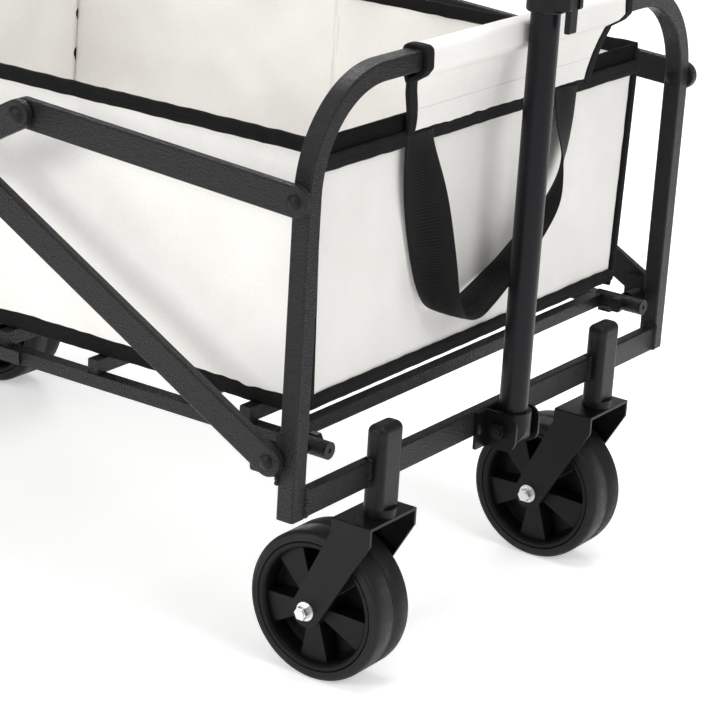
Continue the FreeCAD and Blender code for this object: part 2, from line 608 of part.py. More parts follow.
def handle_yoke():
    """Pressed cup round the foot of the handle tube, rounded below so that it clears the crossbar."""
    body = rod_z(HANDLE_X, 0, BRACKET_BOTTOM + 1.5, BRACKET_TOP - 1, YOKE_RADIUS)
    body = body.fuse(box(HANDLE_X - 6, HANDLE_X, -YOKE_RADIUS, YOKE_RADIUS, BRACKET_BOTTOM + 1.5, BRACKET_TOP - 1))
    body = body.common(box(HANDLE_X - 6, HANDLE_X + 40, -40, 40, 0, 400))
    lower = rod_y(HANDLE_X, -40, 40, HANDLE_PIVOT_Z, YOKE_RADIUS - 0.1)
    body = body.common(lower.fuse(box(HANDLE_X - 40, HANDLE_X + 40, -40, 40, HANDLE_PIVOT_Z, 400)))
    body = body.cut(rod_z(HANDLE_X, 0, 0, 400, HANDLE_RADIUS))
    return body.cut(rod_y(HANDLE_X, -40, 40, HANDLE_PIVOT_Z, HOLE))


def handle_tube():
    tube = rod_z(HANDLE_X, 0, HANDLE_PIVOT_Z - 9, HANDLE_TOP, HANDLE_RADIUS)
    tube = tube.cut(rod_z(HANDLE_X, 0, 0, HANDLE_TOP + 1, HANDLE_RADIUS - HANDLE_WALL))
    return tube.cut(rod_y(HANDLE_X, -40, 40, HANDLE_PIVOT_Z, HOLE))


def handle_collar():
    """Plastic collar at the top of the outer tube, with ears for its clamp lever."""
    z0 = HANDLE_TOP - 2
    z1 = HANDLE_TOP + 30
    body = rod_z(HANDLE_X, 0, z0, z1, HANDLE_RADIUS + 4)
    top = [e for e in body.Edges if e.BoundBox.ZMin > z1 - 0.1 or e.BoundBox.ZMax < z0 + 0.1]
    body = body.makeFillet(2.0, top)
    ear_x = HANDLE_X + HANDLE_RADIUS
    for side in (1, -1):
        y0, y1 = sorted((side * 5.5, side * 10.0))
        ear = round_long_edges(box(ear_x - 2, ear_x + 15, y0, y1, z0 + 4, z1 - 4), V(0, 1, 0), 3.0)
        body = body.fuse(ear)
    body = body.cut(rod_z(HANDLE_X, 0, z0 - 1, HANDLE_TOP, HANDLE_RADIUS))
    body = body.cut(rod_z(HANDLE_X, 0, HANDLE_TOP - 1, z1 + 1, INNER_RADIUS + 0.3))
    return body.cut(rod_y(ear_x + 10, -20, 20, HANDLE_TOP + 14, 2.0 + RUNNING))


def collar_lever():
    """Small clamp lever on the collar, hanging down against the tube."""
    x = HANDLE_X + HANDLE_RADIUS + 10
    z = HANDLE_TOP + 14
    knob = rod_y(x, -5.1, 5.1, z, 4.6)
    blade = box(x - 1.5, x + 3.6, -5.1, 5.1, z - 30, z)
    pin = rod_y(x, -9.9, 9.9, z, 2.0)
    return knob.fuse([round_long_edges(blade, V(0, 1, 0), 1.2), pin])


def inner_tube():
    """Inner handle tube, drawn out of the outer one."""
    z0 = HANDLE_PIVOT_Z + 40
    z1 = GRIP_TOP - 96
    tube = rod_z(HANDLE_X, 0, z0, z1, INNER_RADIUS)
    return tube.cut(rod_z(HANDLE_X, 0, z0 - 1, z1 + 1, INNER_RADIUS - HANDLE_WALL))


def grip():
    """Moulded loop grip: a hand bar above two curved sides that meet at the tube's socket."""
    half = 56.0
    r = 11.0
    base = GRIP_TOP - 100
    hand_z = GRIP_TOP - r
    low_z = base + 26
    corner = 26.0
    points_side = V(HANDLE_X, half, low_z + corner)
    d = math.sqrt(0.5)
    edges = []
    edges.append(Part.LineSegment(V(HANDLE_X, -half + corner, hand_z), V(HANDLE_X, half - corner, hand_z)).toShape())
    for side in (1, -1):
        y = side * half
        c = V(HANDLE_X, side * (half - corner), hand_z - corner)
        edges.append(Part.Arc(V(HANDLE_X, c.y, hand_z), V(HANDLE_X, c.y + side * corner * d, c.z + corner * d),
                              V(HANDLE_X, y, c.z)).toShape())
        edges.append(Part.LineSegment(V(HANDLE_X, y, c.z), V(HANDLE_X, y, points_side.z)).toShape())
        c2 = V(HANDLE_X, side * (half - corner), low_z + corner)
        edges.append(Part.Arc(V(HANDLE_X, y, c2.z), V(HANDLE_X, c2.y + side * corner * d, c2.z - corner * d),
                              V(HANDLE_X, c2.y, low_z)).toShape())
    edges.append(Part.LineSegment(V(HANDLE_X, -half + corner, low_z), V(HANDLE_X, half - corner, low_z)).toShape())
    path = Part.Wire(Part.__sortEdges__(edges))
    profile = Part.Wire(Part.makeCircle(r, V(HANDLE_X, 0, hand_z), V(0, 1, 0)))
    loop = path.makePipeShell([profile], True, True)
    socket = rod_z(HANDLE_X, 0, base, low_z + 4, INNER_RADIUS + 4.4)
    socket = socket.makeFillet(2.5, [e for e in socket.Edges if e.BoundBox.ZMax < base + 0.1])
    body = loop.fuse(socket)
    return body.cut(rod_z(HANDLE_X, 0, base - 1, GRIP_TOP - 96, INNER_RADIUS))


# ---- Writing the nodes --------------------------------------------------------------------------

for end_name, turn in (("front", lambda s: s), ("rear", flip_x)):
    is_front = end_name == "front"
    # The front diagonals lie against the posts and the rear diagonals outside them; each link takes the other layer.
    diagonal_layer = LAYER_1 if is_front else LAYER_2
    link_layer = LAYER_1 if is_front else LAYER_2
    save(end_name + "_hoop", turn(end_hoop()))
    save(end_name + "_crossbar", turn(crossbar()))
    save(end_name + "_caster_sockets", [turn(caster_socket(y)) for y in (CASTER_Y, -CASTER_Y)])
    save(end_name + "_socket_caps", [turn(socket_cap(y)) for y in (CASTER_Y, -CASTER_Y)])
    save(end_name + "_pivot_lugs", [turn(s) for s in both_sides(pivot_lug())])
    save(end_name + "_upper_rivets", [turn(s) for s in both_sides(upper_rivet(link_layer))])
    save(end_name + "_lower_bolts", [turn(s) for s in both_sides(lower_bolt(diagonal_layer))])
    save(end_name + "_spacers", [turn(s) for s in both_sides(spacer())])

    save("floor_frame_" + end_name, turn(floor_frame(hinge_outside=is_front)))
    save("barrel_plugs_" + end_name, [turn(s) for s in both_sides(barrel_plug())])
    save("tub_floor_" + end_name, turn(floor_fabric()))
    save("floor_board_" + end_name, turn(floor_board()))

    save("tub_panel_" + end_name, turn(end_panel()))
    save("tub_soft_walls_" + end_name, turn(soft_walls()))
    save("rail_sleeve_" + end_name, turn(rail_sleeve(SLEEVE_IN - STRAIGHT_Y, STRAIGHT_Y - SLEEVE_IN)))

    foot = (LOWER_X, LOWER_PIVOT_Z)
    crossing = (0.0, CROSS_Z)
    far_apex = (-APEX_X, APEX_Z)
    diagonal = arm(foot, far_apex, diagonal_layer, [foot, crossing, far_apex])
    save(end_name + "_diagonals", [turn(s) for s in both_sides(diagonal)])
    shoulder = (FRAME_X, UPPER_PIVOT_Z)
    near_apex = (APEX_X, APEX_Z)
    link = arm(shoulder, near_apex, link_layer, [shoulder, near_apex])
    save(end_name + "_links", [turn(s) for s in both_sides(link)])

save("carry_strap", carry_strap())
save("hinge_pins", both_sides(hinge_pin()))
save("diagonal_rivets", both_sides(outer_rivet(0, CROSS_Z)) + both_sides(outer_rivet(APEX_X, APEX_Z)))
save("link_rivets", both_sides(outer_rivet(-APEX_X, APEX_Z)))

for side_name, side in (("left", 1), ("right", -1)):
    y = side * CASTER_Y
    save("caster_fork_" + side_name, fork(CASTER_X, y, TRAIL))
    save("caster_axle_" + side_name, axle(CASTER_X, y, TRAIL))
    save("tyre_front_" + side_name, tyre(AXLE_X, y))
    save("hub_front_" + side_name, hub(AXLE_X, y))
    save("tyre_rear_" + side_name, tyre(-CASTER_X, y))
    save("hub_rear_" + side_name, hub(-CASTER_X, y))
save("rear_forks", [flip_x(fork(CASTER_X, y, 0.0)) for y in (CASTER_Y, -CASTER_Y)])
save("rear_axles", [flip_x(axle(CASTER_X, y, 0.0)) for y in (CASTER_Y, -CASTER_Y)])

save("handle_bracket", handle_bracket())
save("handle_bolt", handle_bolt())
save("handle_yoke", handle_yoke())
save("handle_tube", handle_tube())
save("handle_collar", handle_collar())
save("collar_lever", collar_lever())
save("handle_inner_tube", inner_tube())
save("handle_grip", grip())
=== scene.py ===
import bpy
import math
import bmesh
from mathutils import Matrix, Vector, noise


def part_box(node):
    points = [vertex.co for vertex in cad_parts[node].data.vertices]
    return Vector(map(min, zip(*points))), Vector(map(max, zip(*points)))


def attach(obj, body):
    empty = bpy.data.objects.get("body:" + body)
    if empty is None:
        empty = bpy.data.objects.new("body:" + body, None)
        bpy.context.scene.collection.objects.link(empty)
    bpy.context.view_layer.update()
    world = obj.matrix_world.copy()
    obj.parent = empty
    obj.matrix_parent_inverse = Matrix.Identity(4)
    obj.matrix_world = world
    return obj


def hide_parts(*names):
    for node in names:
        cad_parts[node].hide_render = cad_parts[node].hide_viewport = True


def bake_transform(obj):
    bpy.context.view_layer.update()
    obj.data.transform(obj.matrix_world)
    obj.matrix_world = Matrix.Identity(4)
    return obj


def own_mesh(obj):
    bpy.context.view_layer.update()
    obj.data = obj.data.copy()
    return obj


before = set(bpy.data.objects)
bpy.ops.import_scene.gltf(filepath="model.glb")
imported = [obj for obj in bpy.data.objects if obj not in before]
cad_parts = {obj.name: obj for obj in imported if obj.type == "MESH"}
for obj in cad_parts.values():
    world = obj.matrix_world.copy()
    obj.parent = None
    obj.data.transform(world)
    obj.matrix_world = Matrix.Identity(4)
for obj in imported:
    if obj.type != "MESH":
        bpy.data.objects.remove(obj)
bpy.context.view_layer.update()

# The place: a wide pale floor, lit by large soft lamps from above, from in front, from the wagon's
# right side and from behind, so that the edges of a black frame show.
scene = bpy.context.scene
scene.view_settings.view_transform = "Standard"
scene.view_settings.look = "None"

floor_reach = 14.0
floor_mesh = bpy.data.meshes.new("studio_floor")
floor_mesh.from_pydata([(-floor_reach, -floor_reach, 0), (floor_reach, -floor_reach, 0),
                        (floor_reach, floor_reach, 0), (-floor_reach, floor_reach, 0)], [], [(0, 1, 2, 3)])
floor = bpy.data.objects.new("studio_floor", floor_mesh)
scene.collection.objects.link(floor)
floor_paint = bpy.data.materials.new("studio floor paint")
floor_paint.use_nodes = True
floor_shader = floor_paint.node_tree.nodes["Principled BSDF"]
floor_shader.inputs["Base Color"].default_value = (0.93, 0.93, 0.93, 1)
floor_shader.inputs["Roughness"].default_value = 0.9
floor_shader.inputs["Specular IOR Level"].default_value = 0.1
floor_shader.inputs["Emission Color"].default_value = (1, 1, 1, 1)
floor_shader.inputs["Emission Strength"].default_value = 0.42
floor_mesh.materials.append(floor_paint)


def hang_lamp(name, place, aim, size, watts):
    """A square soft lamp at a place, turned towards a point."""
    light = bpy.data.lights.new(name, "AREA")
    light.size = size
    light.energy = watts
    lamp = bpy.data.objects.new(name, light)
    lamp.location = place
    lamp.rotation_euler = (Vector(aim) - Vector(place)).to_track_quat("-Z", "Y").to_euler()
    scene.collection.objects.link(lamp)


tub_middle = (0.1, 0.0, 0.3)
hang_lamp("top lamp", (0.3, -0.2, 2.6), tub_middle, 1.5, 44)
hang_lamp("front lamp", (2.6, -0.6, 1.9), tub_middle, 0.8, 17)
hang_lamp("side lamp", (-0.7, -2.8, 1.3), tub_middle, 1.0, 38)
hang_lamp("back lamp", (-1.6, 2.2, 1.9), tub_middle, 0.8, 16)

sky = bpy.data.worlds.new("studio sky")
scene.world = sky
sky.use_nodes = True
sky.node_tree.nodes["Background"].inputs["Color"].default_value = (1.0, 1.0, 1.0, 1)
sky.node_tree.nodes["Background"].inputs["Strength"].default_value = 0.50

# The camera stands in front and to the right, higher than the grip, and looks down at the front right
# corner of the wagon. It is rolled a little to one side.
camera_place = Vector((1.4334, -1.8033, 0.9662))
camera_turn = 0.5928
camera_drop = 0.3394
camera_roll = 0.0625
focal_length = 135.5
sight = Vector((-math.sin(camera_turn) * math.cos(camera_drop),
                math.cos(camera_turn) * math.cos(camera_drop), -math.sin(camera_drop)))
level_right = Vector((math.cos(camera_turn), math.sin(camera_turn), 0))
level_up = level_right.cross(sight)
camera_right = level_right * math.cos(camera_roll) + level_up * math.sin(camera_roll)
camera_up = level_up * math.cos(camera_roll) - level_right * math.sin(camera_roll)
lens = bpy.data.cameras.new("camera")
lens.lens = focal_length
lens.sensor_width = 36.0
camera = bpy.data.objects.new("camera", lens)
camera.rotation_euler = Matrix((camera_right, camera_up, -sight)).transposed().to_euler()
camera.location = camera_place
scene.collection.objects.link(camera)
scene.camera = camera

# The steel frame. Square and flat tube, welded and coated with a black powder that dries into small
# hard lumps, so that it glints along every edge. The two end frames, the crossed arms and the floor
# frame all have this coat.


def add_node(tree, kind, inputs=None, **settings):
    """A node with its settings and inputs. An input takes a number, a colour or a node's socket."""
    node = tree.nodes.new(kind)
    for name, value in settings.items():
        setattr(node, name, value)
    for name, value in (inputs or {}).items():
        socket = node.inputs[name]
        if isinstance(value, bpy.types.NodeSocket):
            tree.links.new(value, socket)
        else:
            socket.default_value = value
    return node


def new_group(name, numbers, results):
    """A shader group with number inputs and named outputs."""
    group = bpy.data.node_groups.new(name, "ShaderNodeTree")
    for label, value in numbers.items():
        socket = group.interface.new_socket(label, in_out="INPUT", socket_type="NodeSocketFloat")
        socket.default_value = value
    for label in results:
        group.interface.new_socket(label, in_out="OUTPUT", socket_type="NodeSocketFloat")
    return group, group.nodes.new("NodeGroupInput"), group.nodes.new("NodeGroupOutput")


def ramp(tree, value, low, high, start, end):
    """Turns a value between low and high into one between start and end, and holds it there outside."""
    return add_node(tree, "ShaderNodeMapRange", {"Value": value, "From Min": low, "From Max": high,
                                                 "To Min": start, "To Max": end}).outputs["Result"]


def math_node(tree, operation, first, second=0.0):
    """The result of one sum, each term a number or a node's socket."""
    node = tree.nodes.new("ShaderNodeMath")
    node.operation = operation
    for socket, value in zip(node.inputs, (first, second)):
        if isinstance(value, bpy.types.NodeSocket):
            tree.links.new(value, socket)
        else:
            socket.default_value = value
    return node.outputs[0]


lump_defaults = {"Lump Scale": 300.0, "Fine Scale": 1400.0, "Fleck Share": 0.3}
lumps, lumps_in, lumps_out = new_group("coat lumps", lump_defaults, ["Height", "Fleck"])
lump_place = add_node(lumps, "ShaderNodeTexCoord").outputs["Object"]
lump_coarse = add_node(lumps, "ShaderNodeTexNoise", {
    "Vector": lump_place, "Scale": lumps_in.outputs["Lump Scale"], "Detail": 3.0, "Roughness": 0.55})
lump_fine = add_node(lumps, "ShaderNodeTexNoise", {
    "Vector": lump_place, "Scale": lumps_in.outputs["Fine Scale"], "Detail": 2.0})
lump_sum = math_node(lumps, "ADD", lump_coarse.outputs["Fac"],
                     math_node(lumps, "MULTIPLY", lump_fine.outputs["Fac"], 0.35))
fleck_cells = add_node(lumps, "ShaderNodeTexVoronoi", {
    "Vector": lump_place, "Scale": lumps_in.outputs["Fine Scale"]})
fleck_mask = ramp(lumps, fleck_cells.outputs["Distance"], 0.0, lumps_in.outputs["Fleck Share"], 1.0, 0.0)
lumps.links.new(lump_sum, lumps_out.inputs["Height"])
lumps.links.new(fleck_mask, lumps_out.inputs["Fleck"])


def new_finish(name, colour, roughness, **plain):
    """A material with a Principled shader and plain values on its own sockets."""
    material = bpy.data.materials.new(name)
    material.use_nodes = True
    tree = material.node_tree
    shader = tree.nodes["Principled BSDF"]
    shader.inputs["Base Color"].default_value = (*colour, 1)
    shader.inputs["Roughness"].default_value = roughness
    for label, value in plain.items():
        shader.inputs[label.replace("_", " ")].default_value = value
    return material, tree, shader


def coat_finish(name, colour, roughness, lump_scale, lump_depth, fleck_share, **plain):
    """A lumpy coat with smoother flecks, and painted shade in its hollows and painted highlight on its lumps.
    """
    material, tree, shader = new_finish(name, colour, roughness, **plain)
    coat = add_node(tree, "ShaderNodeGroup", node_tree=lumps)
    coat.inputs["Lump Scale"].default_value = lump_scale
    coat.inputs["Fleck Share"].default_value = fleck_share
    bump = add_node(tree, "ShaderNodeBump", {"Height": coat.outputs["Height"], "Strength": 0.7,
                                             "Distance": lump_depth})
    tree.links.new(bump.outputs["Normal"], shader.inputs["Normal"])
    tree.links.new(ramp(tree, coat.outputs["Fleck"], 0, 1, roughness, roughness * 0.45),
                   shader.inputs["Roughness"])
    # The colour follows the lumps' height: painted shade in the hollows and painted highlight on the tops.
    lump_light_and_shade = ramp(tree, coat.outputs["Height"], 0.3, 0.95, 0.7, 1.4)
    mix = add_node(tree, "ShaderNodeVectorMath", {0: colour, 1: (1, 1, 1)}, operation="MULTIPLY")
    tree.links.new(lump_light_and_shade, mix.inputs[1])
    tree.links.new(mix.outputs["Vector"], shader.inputs["Base Color"])
    return material


def dress(material, *nodes):
    """Gives CAD nodes a finish in place of their plain one."""
    for name in nodes:
        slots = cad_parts[name].material_slots
        for held in slots:
            held.material = material


ends = ("front", "rear")
hammered_black = coat_finish("hammered black coat", (0.0036, 0.0036, 0.0044), 0.25, 560.0, 0.0026, 0.35,
                             Specular_IOR_Level=0.26)
hammered_parts = ("_hoop", "_crossbar", "_pivot_lugs", "_diagonals", "_links")
for end in ends:
    dress(hammered_black, "floor_frame_" + end, *(end + part for part in hammered_parts))
smooth_black = coat_finish("satin black coat", (0.0036, 0.0036, 0.0044), 0.33, 900.0, 0.0005, 0.2,
                           Specular_IOR_Level=0.17)
satin_parts = ("_caster_sockets", "_spacers", "_upper_rivets", "_lower_bolts")
for end in ends:
    dress(smooth_black, *(end + part for part in satin_parts))
dress(smooth_black, "diagonal_rivets", "link_rivets", "hinge_pins", "handle_bracket", "handle_yoke",
      "handle_bolt", "rear_forks", "caster_fork_left", "caster_fork_right")

# The handle. Two round tubes with a fine satin coat, the inner one drawn out of the outer one, a
# moulded collar that clamps them, and a moulded loop grip.
tube_black = coat_finish("handle tube coat", (0.0048, 0.0048, 0.0064), 0.32, 2200.0, 0.00012, 0.12,
                         Specular_IOR_Level=0.18)
dress(tube_black, "handle_tube", "handle_inner_tube")
moulded_black = coat_finish("moulded black plastic", (0.0050, 0.0050, 0.0058), 0.44, 1700.0, 0.00012, 0.1,
                            Specular_IOR_Level=0.2)
dress(moulded_black, "handle_collar", "collar_lever", "handle_grip")
for end in ends:
    dress(moulded_black, end + "_socket_caps", "barrel_plugs_" + end)

# The axles. Zinc-plated steel, bright all over with a fine fleck in it. They show at the forks as the
# only bright metal on the wagon.
zinc_plate = coat_finish("zinc plate", (0.60, 0.61, 0.62), 0.34, 1500.0, 0.0001, 0.2, Metallic=1.0)
dress(zinc_plate, "rear_axles", "caster_axle_left", "caster_axle_right")

# The wheels. A solid black tyre with a fine moulding seam round its tread, pressed on a hub with a
# stepped rim, a flat web and five spokes that widen outward on each side.
wheel_places = ("front_left", "front_right", "rear_left", "rear_right")
rear_wheel_turn = 0.35
first_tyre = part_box("tyre_front_left")
wheel_radius = (first_tyre[1].x - first_tyre[0].x) / 2
tyre_half = (first_tyre[1].y - first_tyre[0].y) / 2
rim_radius = wheel_radius - 0.0085
boss_radius = 0.013
boss_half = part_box("hub_front_left")[1].y - (first_tyre[0].y + first_tyre[1].y) / 2
bore_radius = 0.0041


def add_piece(name, points, faces, coordinates=None, smooth=True):
    """A mesh object from points and faces; coordinates are one pair of cloth or path distances per point."""
    mesh = bpy.data.meshes.new(name)
    mesh.from_pydata(points, [], faces)
    if coordinates:
        layer = mesh.uv_layers.new(name="UVMap")
        for loop in mesh.loops:
            layer.data[loop.index].uv = coordinates[loop.vertex_index]
    for face in mesh.polygons:
        face.use_smooth = smooth
    piece = bpy.data.objects.new(name, mesh)
    scene.collection.objects.link(piece)
    return piece


def turned(name, outline, steps):
    """A closed outline of (radius, along Y) pairs turned round the Y axis."""
    count = len(outline)
    points = [(radius * math.cos(2 * math.pi * k / steps), along, radius * math.sin(2 * math.pi * k / steps))
              for k in range(steps) for radius, along in outline]
    faces = [(k * count + i, k * count + (i + 1) % count,
              (k + 1) % steps * count + (i + 1) % count, (k + 1) % steps * count + i)
             for k in range(steps) for i in range(count)]
    return add_piece(name, points, faces)


def outward(piece):
    """Points a closed mesh's faces outward."""
    work = bmesh.new()
    work.from_mesh(piece.data)
    bmesh.ops.remove_doubles(work, verts=work.verts, dist=1e-6)
    bmesh.ops.recalc_face_normals(work, faces=work.faces)
    work.to_mesh(piece.data)
    work.free()


def settle(piece):
    """Takes a piece's modifiers into its mesh."""
    evaluated = piece.evaluated_get(bpy.context.evaluated_depsgraph_get())
    mesh = bpy.data.meshes.new_from_object(evaluated)
    piece.modifiers.clear()
    piece.data = mesh
    return piece


def sharp_edges(piece, angle=0.6):
    """Keeps edges steeper than an angle crisp and the rest smooth."""
    piece.data.set_sharp_from_angle(angle=angle)


def round_corner(corner_radius, corner_along, size, start, end, steps):
    """Points of an arc of one size about a corner's centre, from one angle to another."""
    return [(corner_radius + size * math.cos(start + (end - start) * k / steps),
             corner_along + size * math.sin(start + (end - start) * k / steps)) for k in range(steps + 1)]


def other_side(outline):
    """An outline's mirror on the wheel's other side."""
    return [(radius, -along) for radius, along in outline]


shoulder = 0.005
shoulder_steps = 6
seam_drop = 0.0007
seam_half = 0.0005
quarter = math.pi / 2
tyre_foot = [(rim_radius, tyre_half - 0.001), (rim_radius + 0.0006, tyre_half),
             (rim_radius + 0.0022, tyre_half), (rim_radius + 0.0026, tyre_half - 0.0005),
             (rim_radius + 0.003, tyre_half)]
tread_seam = [(wheel_radius, seam_half), (wheel_radius - seam_drop, seam_half * 2),
              (wheel_radius, seam_half * 3)]
tyre_outline = (
    other_side(tyre_foot)
    + round_corner(wheel_radius - shoulder, -tyre_half + shoulder, shoulder, -quarter, 0, shoulder_steps)
    + other_side(reversed(tread_seam)) + tread_seam
    + round_corner(wheel_radius - shoulder, tyre_half - shoulder, shoulder, 0, quarter, shoulder_steps)
    + tyre_foot[::-1])
tyre_shape = turned("tyre shape", tyre_outline, 128)
outward(tyre_shape)

lip = 0.0016
web_half = 0.002
pocket_radius = rim_radius - 0.006
hub_side = [(bore_radius, boss_half), (boss_radius - 0.004, boss_half),
            (boss_radius - 0.003, boss_half - 0.001), (boss_radius - 0.001, boss_half - 0.0012),
            (boss_radius, boss_half - 0.003),
            (boss_radius + 0.002, web_half + 0.003), (boss_radius + 0.004, web_half),
            (pocket_radius - 0.004, web_half), (pocket_radius - 0.001, web_half + 0.003),
            (pocket_radius, tyre_half - 0.004), (pocket_radius + 0.001, tyre_half - lip),
            (pocket_radius + 0.0025, tyre_half - 0.0004), (rim_radius - 0.001, tyre_half - 0.0004),
            (rim_radius, tyre_half - lip)]
hub_outline = hub_side + other_side(reversed(hub_side))
hub_shape = turned("hub shape", hub_outline, 96)
outward(hub_shape)

spoke_ring = bpy.data.node_groups.new("ring of spokes", "GeometryNodeTree")
spoke_ring.interface.new_socket("Geometry", in_out="INPUT", socket_type="NodeSocketGeometry")
spoke_ring.interface.new_socket("Count", in_out="INPUT", socket_type="NodeSocketInt")
spoke_ring.interface.new_socket("Finish", in_out="INPUT", socket_type="NodeSocketMaterial")
spoke_ring.interface.new_socket("Geometry", in_out="OUTPUT", socket_type="NodeSocketGeometry")
ring_in = spoke_ring.nodes.new("NodeGroupInput")
ring_out = spoke_ring.nodes.new("NodeGroupOutput")
ring_points = add_node(spoke_ring, "GeometryNodePoints", {"Count": ring_in.outputs["Count"]})
ring_share = math_node(spoke_ring, "DIVIDE", add_node(spoke_ring, "GeometryNodeInputIndex").outputs[0],
                       ring_in.outputs["Count"])
ring_angle = math_node(spoke_ring, "MULTIPLY", ring_share, 2 * math.pi)
ring_turn = add_node(spoke_ring, "ShaderNodeCombineXYZ", {"Y": ring_angle})
ring_copies = add_node(spoke_ring, "GeometryNodeInstanceOnPoints", {
    "Points": ring_points.outputs[0], "Instance": ring_in.outputs["Geometry"],
    "Rotation": ring_turn.outputs[0]})
ring_real = add_node(spoke_ring, "GeometryNodeRealizeInstances", {"Geometry": ring_copies.outputs[0]})
ring_dressed = add_node(spoke_ring, "GeometryNodeSetMaterial", {"Geometry": ring_real.outputs[0],
                                                                "Material": ring_in.outputs["Finish"]})
spoke_ring.links.new(ring_dressed.outputs[0], ring_out.inputs[0])


def grow(piece, tree, **values):
    """Runs a Geometry Nodes tree on a piece and keeps the result as its mesh."""
    modifier = piece.modifiers.new(tree.name, "NODES")
    modifier.node_group = tree
    for item in tree.interface.items_tree:
        if item.item_type == "SOCKET" and item.in_out == "INPUT" and item.name.replace(" ", "_") in values:
            modifier[item.identifier] = values[item.name.replace(" ", "_")]
    return settle(piece)


hub_plastic = coat_finish("moulded hub plastic", (0.0040, 0.0040, 0.0048), 0.42, 1500.0, 0.00015, 0.1,
                          Specular_IOR_Level=0.16)
tyre_rubber, tyre_tree, tyre_shader = new_finish("tyre rubber", (0.0060, 0.0060, 0.0068), 0.60,
                                                  Specular_IOR_Level=0.24)
tyre_spot = add_node(tyre_tree, "ShaderNodeTexCoord").outputs["Object"]
scuffs = add_node(tyre_tree, "ShaderNodeTexNoise", {"Vector": tyre_spot, "Scale": 42.0, "Detail": 6.0,
                                                    "Roughness": 0.7})
pits = add_node(tyre_tree, "ShaderNodeTexNoise", {"Vector": tyre_spot, "Scale": 900.0, "Detail": 2.0})
scuffed_gloss = ramp(tyre_tree, scuffs.outputs["Fac"], 0.45, 0.68, 0.58, 0.36)
tyre_tree.links.new(scuffed_gloss, tyre_shader.inputs["Roughness"])
tyre_grain = math_node(tyre_tree, "ADD", math_node(tyre_tree, "MULTIPLY", scuffs.outputs["Fac"], 0.8),
                       math_node(tyre_tree, "MULTIPLY", pits.outputs["Fac"], 0.3))
tyre_bump = add_node(tyre_tree, "ShaderNodeBump", {"Height": tyre_grain, "Strength": 0.6, "Distance": 0.0008})
tyre_tree.links.new(tyre_bump.outputs["Normal"], tyre_shader.inputs["Normal"])

spoke_near = 0.0052
spoke_far = 0.0140
spoke_depth = 0.0062
spoke_low = boss_radius - 0.002
spoke_high = pocket_radius + 0.0008
spoke_foot_spread = 0.001
spoke_dish = 0.004
spoke_count = 5
spoke_section = []
for along in (tyre_half - spoke_depth, -(tyre_half - spoke_depth)):
    inner = web_half if along > 0 else -web_half
    for radius, half in ((spoke_low, spoke_near), (spoke_high, spoke_far)):
        dish = spoke_dish * (1 if along > 0 else -1) * (1 if radius == spoke_low else 0)
        foot_half = half + spoke_foot_spread
        spoke_section.append([(-foot_half, inner * 0.5, -radius), (foot_half, inner * 0.5, -radius),
                              (half, along + dish, -radius), (-half, along + dish, -radius)])
spoke_points = [Vector(point) for ring in spoke_section for point in ring]
spoke_faces = []
for base in (0, 8):
    spoke_faces += [(base + i, base + (i + 1) % 4, base + 4 + (i + 1) % 4, base + 4 + i) for i in range(4)]
    spoke_faces += [(base + 3, base + 2, base + 1, base), (base + 4, base + 5, base + 6, base + 7)]
spokes_shape = add_piece("spokes shape", spoke_points, spoke_faces, smooth=False)
outward(spokes_shape)
spoke_bevel = spokes_shape.modifiers.new("softened edges", "BEVEL")
spoke_bevel.width = 0.0008
spoke_bevel.segments = 2
settle(spokes_shape)
grow(spokes_shape, spoke_ring, Count=spoke_count, Finish=hub_plastic)
tyre_shape.data.materials.append(tyre_rubber)
hub_shape.data.materials.append(hub_plastic)
sharp_edges(hub_shape)

wheel_shapes = ((tyre_shape, "tyre_", "tyre_", "tyre"), (hub_shape, "hub_", "hub_", "hub_plastic"),
                (spokes_shape, "spokes_", "hub_", "hub_plastic"))
for place_name in wheel_places:
    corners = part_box("tyre_" + place_name)
    centre = (Vector(corners[0]) + Vector(corners[1])) / 2
    spin = rear_wheel_turn if "rear" in place_name else 0.0
    put = Matrix.Translation(centre) @ Matrix.Rotation(spin, 4, "Y")
    body = "wheel_" + place_name
    for shape, label, cad_label, slot in wheel_shapes:
        node = cad_label + place_name
        mesh = shape.data.copy()
        mesh.transform(put)
        piece = bpy.data.objects.new(label + "of_" + place_name, mesh)
        scene.collection.objects.link(piece)
        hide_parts(node)
        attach(piece, body)
for shape in (tyre_shape, hub_shape, spokes_shape):
    bpy.data.objects.remove(shape)

# The tub's cloth. Off-white polyester canvas in a plain weave, backed so that it stands by itself.
# The two end panels hang in the end frames; each side wall is two halves that fold up towards them.
front_panel_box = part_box("tub_panel_front")
rear_panel_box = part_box("tub_panel_rear")
wall_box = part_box("tub_soft_walls_front")
front_x = front_panel_box[1].x
rear_x = rear_panel_box[0].x
middle_x = (front_x + rear_x) / 2
rim_height = front_panel_box[1].z
tub_low = wall_box[0].z
rim_half = front_panel_box[1].y
floor_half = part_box("tub_floor_front")[1].y
canvas_thick = 0.0022
end_directions = {"front": 1, "rear": -1}

weave, weave_in, weave_out = new_group("plain weave", {"Thread Pitch": 0.0009, "Slub": 0.5},
                                       ["Height", "Shade"])
weave_uv = add_node(weave, "ShaderNodeSeparateXYZ", {0: add_node(weave, "ShaderNodeTexCoord").outputs["UV"]})
thread_rate = math_node(weave, "DIVIDE", 2 * math.pi, weave_in.outputs["Thread Pitch"])
warp = math_node(weave, "SINE", math_node(weave, "MULTIPLY", weave_uv.outputs["X"], thread_rate))
weft = math_node(weave, "SINE", math_node(weave, "MULTIPLY", weave_uv.outputs["Y"], thread_rate))
crossing = math_node(weave, "MULTIPLY", warp, weft)
slub_place = add_node(weave, "ShaderNodeTexCoord").outputs["Object"]
slub = add_node(weave, "ShaderNodeTexNoise", {"Vector": slub_place, "Scale": 900.0, "Detail": 3.0})
slub_part = math_node(weave, "MULTIPLY", slub.outputs["Fac"], weave_in.outputs["Slub"])
